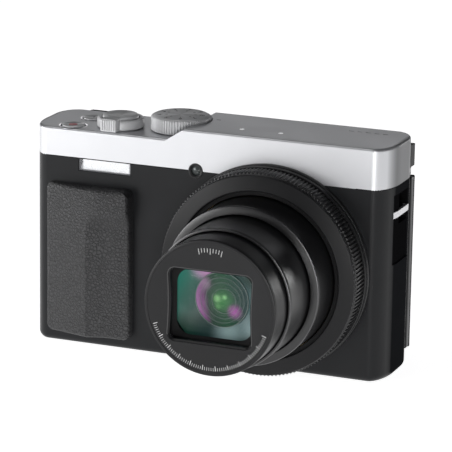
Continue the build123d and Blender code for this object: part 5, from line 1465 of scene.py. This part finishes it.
class CAMERA_OT_stage(bpy.types.Operator):
    """Sets the floor, the soft studio lights and the camera"""
    bl_idname = "camera.stage"
    bl_label = "Stage"

    def execute(self, context):
        settings = context.scene.camera_stage
        bm = bmesh.new()
        bmesh.ops.create_grid(bm, x_segments=1, y_segments=1, size=6.0)
        mesh = bpy.data.meshes.new("studio_floor")
        bm.to_mesh(mesh)
        bm.free()
        floor = bpy.data.objects.new("studio_floor", mesh)
        context.scene.collection.objects.link(floor)
        floor.location.z = -0.0002
        made, tree, shader = new_material("floor_paper")
        socket_values(shader, Roughness=0.9, Specular_IOR_Level=0.1, Emission_Strength=0.92,
                      Emission_Color=tuple(settings.floor))
        point = object_point(tree)
        tree.links.new(ramp(tree, noise_node(tree, point, 60.0), (0.3, 0.94), (0.7, 0.98)),
                       shader.inputs["Base Color"])
        mesh.materials.append(made)

        world = bpy.data.worlds.new("studio")
        context.scene.world = world
        world.use_nodes = True
        world.node_tree.nodes["Background"].inputs["Color"].default_value = (0.055, 0.055, 0.058, 1)
        world.node_tree.nodes["Background"].inputs["Strength"].default_value = 1.0

        aim = (0.0, -0.02, 0.035)
        soft_light("key_left", (-0.56, -0.60, 0.12), aim, (0.42, 0.22), 1.9)
        soft_light("strip_front_right", (0.20, -0.57, 0.06), aim, (0.035, 0.12), 0.75)
        soft_light("strip_left", (-0.8, -0.1, 0.12), aim, (0.06, 0.24), 0.9)
        soft_light("back_right", (0.44, 1.05, 0.10), aim, (0.2, 0.2), 1.3)
        soft_light("back_left", (-0.42, 1.2, 0.42), aim, (0.7, 0.22), 0.5)
        soft_light("overhead", (-0.30, -0.20, 0.85), aim, (0.3, 0.3), 0.7)

        camera = bpy.data.cameras.new("studio_camera")
        camera.lens = settings.focal_length
        camera.sensor_width = 36.0
        camera.clip_start, camera.clip_end = 0.01, 50.0
        holder = bpy.data.objects.new("studio_camera", camera)
        context.scene.collection.objects.link(holder)
        azimuth, elevation, roll = (radians(v) for v in (settings.azimuth, settings.elevation, settings.roll))
        back = Vector((sin(azimuth) * cos(elevation), -cos(azimuth) * cos(elevation), sin(elevation)))
        target = Vector(settings.target)
        right = (-back).cross(Vector((0, 0, 1))).normalized()
        up = right.cross(-back)
        x_axis = right * cos(roll) + up * sin(roll)
        y_axis = up * cos(roll) - right * sin(roll)
        turn = Matrix((x_axis, y_axis, back)).transposed()
        holder.matrix_world = Matrix.Translation(target + back * settings.distance) @ turn.to_4x4()
        context.scene.camera = holder
        context.scene.view_settings.view_transform = "Standard"
        return {"FINISHED"}


# ---------------------------------------------------------------- panel and registration

OPERATORS = (
    CAMERA_OT_casings, CAMERA_OT_grip, CAMERA_OT_flash, CAMERA_OT_lens_mount, CAMERA_OT_control_ring,
    CAMERA_OT_barrels, CAMERA_OT_front_barrel, CAMERA_OT_glass, CAMERA_OT_mode_dial, CAMERA_OT_shutter,
    CAMERA_OT_round_buttons, CAMERA_OT_strap_lug, CAMERA_OT_monitor, CAMERA_OT_rear_controls,
    CAMERA_OT_finder, CAMERA_OT_fittings, CAMERA_OT_stage,
)


class CAMERA_PT_build(bpy.types.Panel):
    """Lists the building steps and their settings"""
    bl_label = "Compact camera"
    bl_idname = "CAMERA_PT_build"
    bl_space_type = "VIEW_3D"
    bl_region_type = "UI"
    bl_category = "Camera"

    def draw(self, context):
        layout = self.layout
        for operator in OPERATORS:
            layout.operator(operator.bl_idname)
        for name in ("camera_body", "camera_lens", "camera_controls", "camera_stage"):
            group = getattr(context.scene, name)
            column = layout.box().column()
            for key in group.__annotations__:
                column.prop(group, key)


def register():
    """Registers the settings, the operators and the panel."""
    for kind in (*SETTINGS, *OPERATORS, CAMERA_PT_build):
        bpy.utils.register_class(kind)
    bpy.types.Scene.camera_body = PointerProperty(type=BodySettings)
    bpy.types.Scene.camera_lens = PointerProperty(type=LensSettings)
    bpy.types.Scene.camera_controls = PointerProperty(type=ControlSettings)
    bpy.types.Scene.camera_stage = PointerProperty(type=StageSettings)


def unregister():
    """Takes them away again."""
    for name in ("camera_body", "camera_lens", "camera_controls", "camera_stage"):
        delattr(bpy.types.Scene, name)
    for kind in reversed((*SETTINGS, *OPERATORS, CAMERA_PT_build)):
        bpy.utils.unregister_class(kind)


def main():
    register()
    make_finishes(bpy.context.scene)
    for operator in OPERATORS:
        group, step = operator.bl_idname.split(".")
        getattr(getattr(bpy.ops, group), step)()


if __name__ == "__main__":
    main()
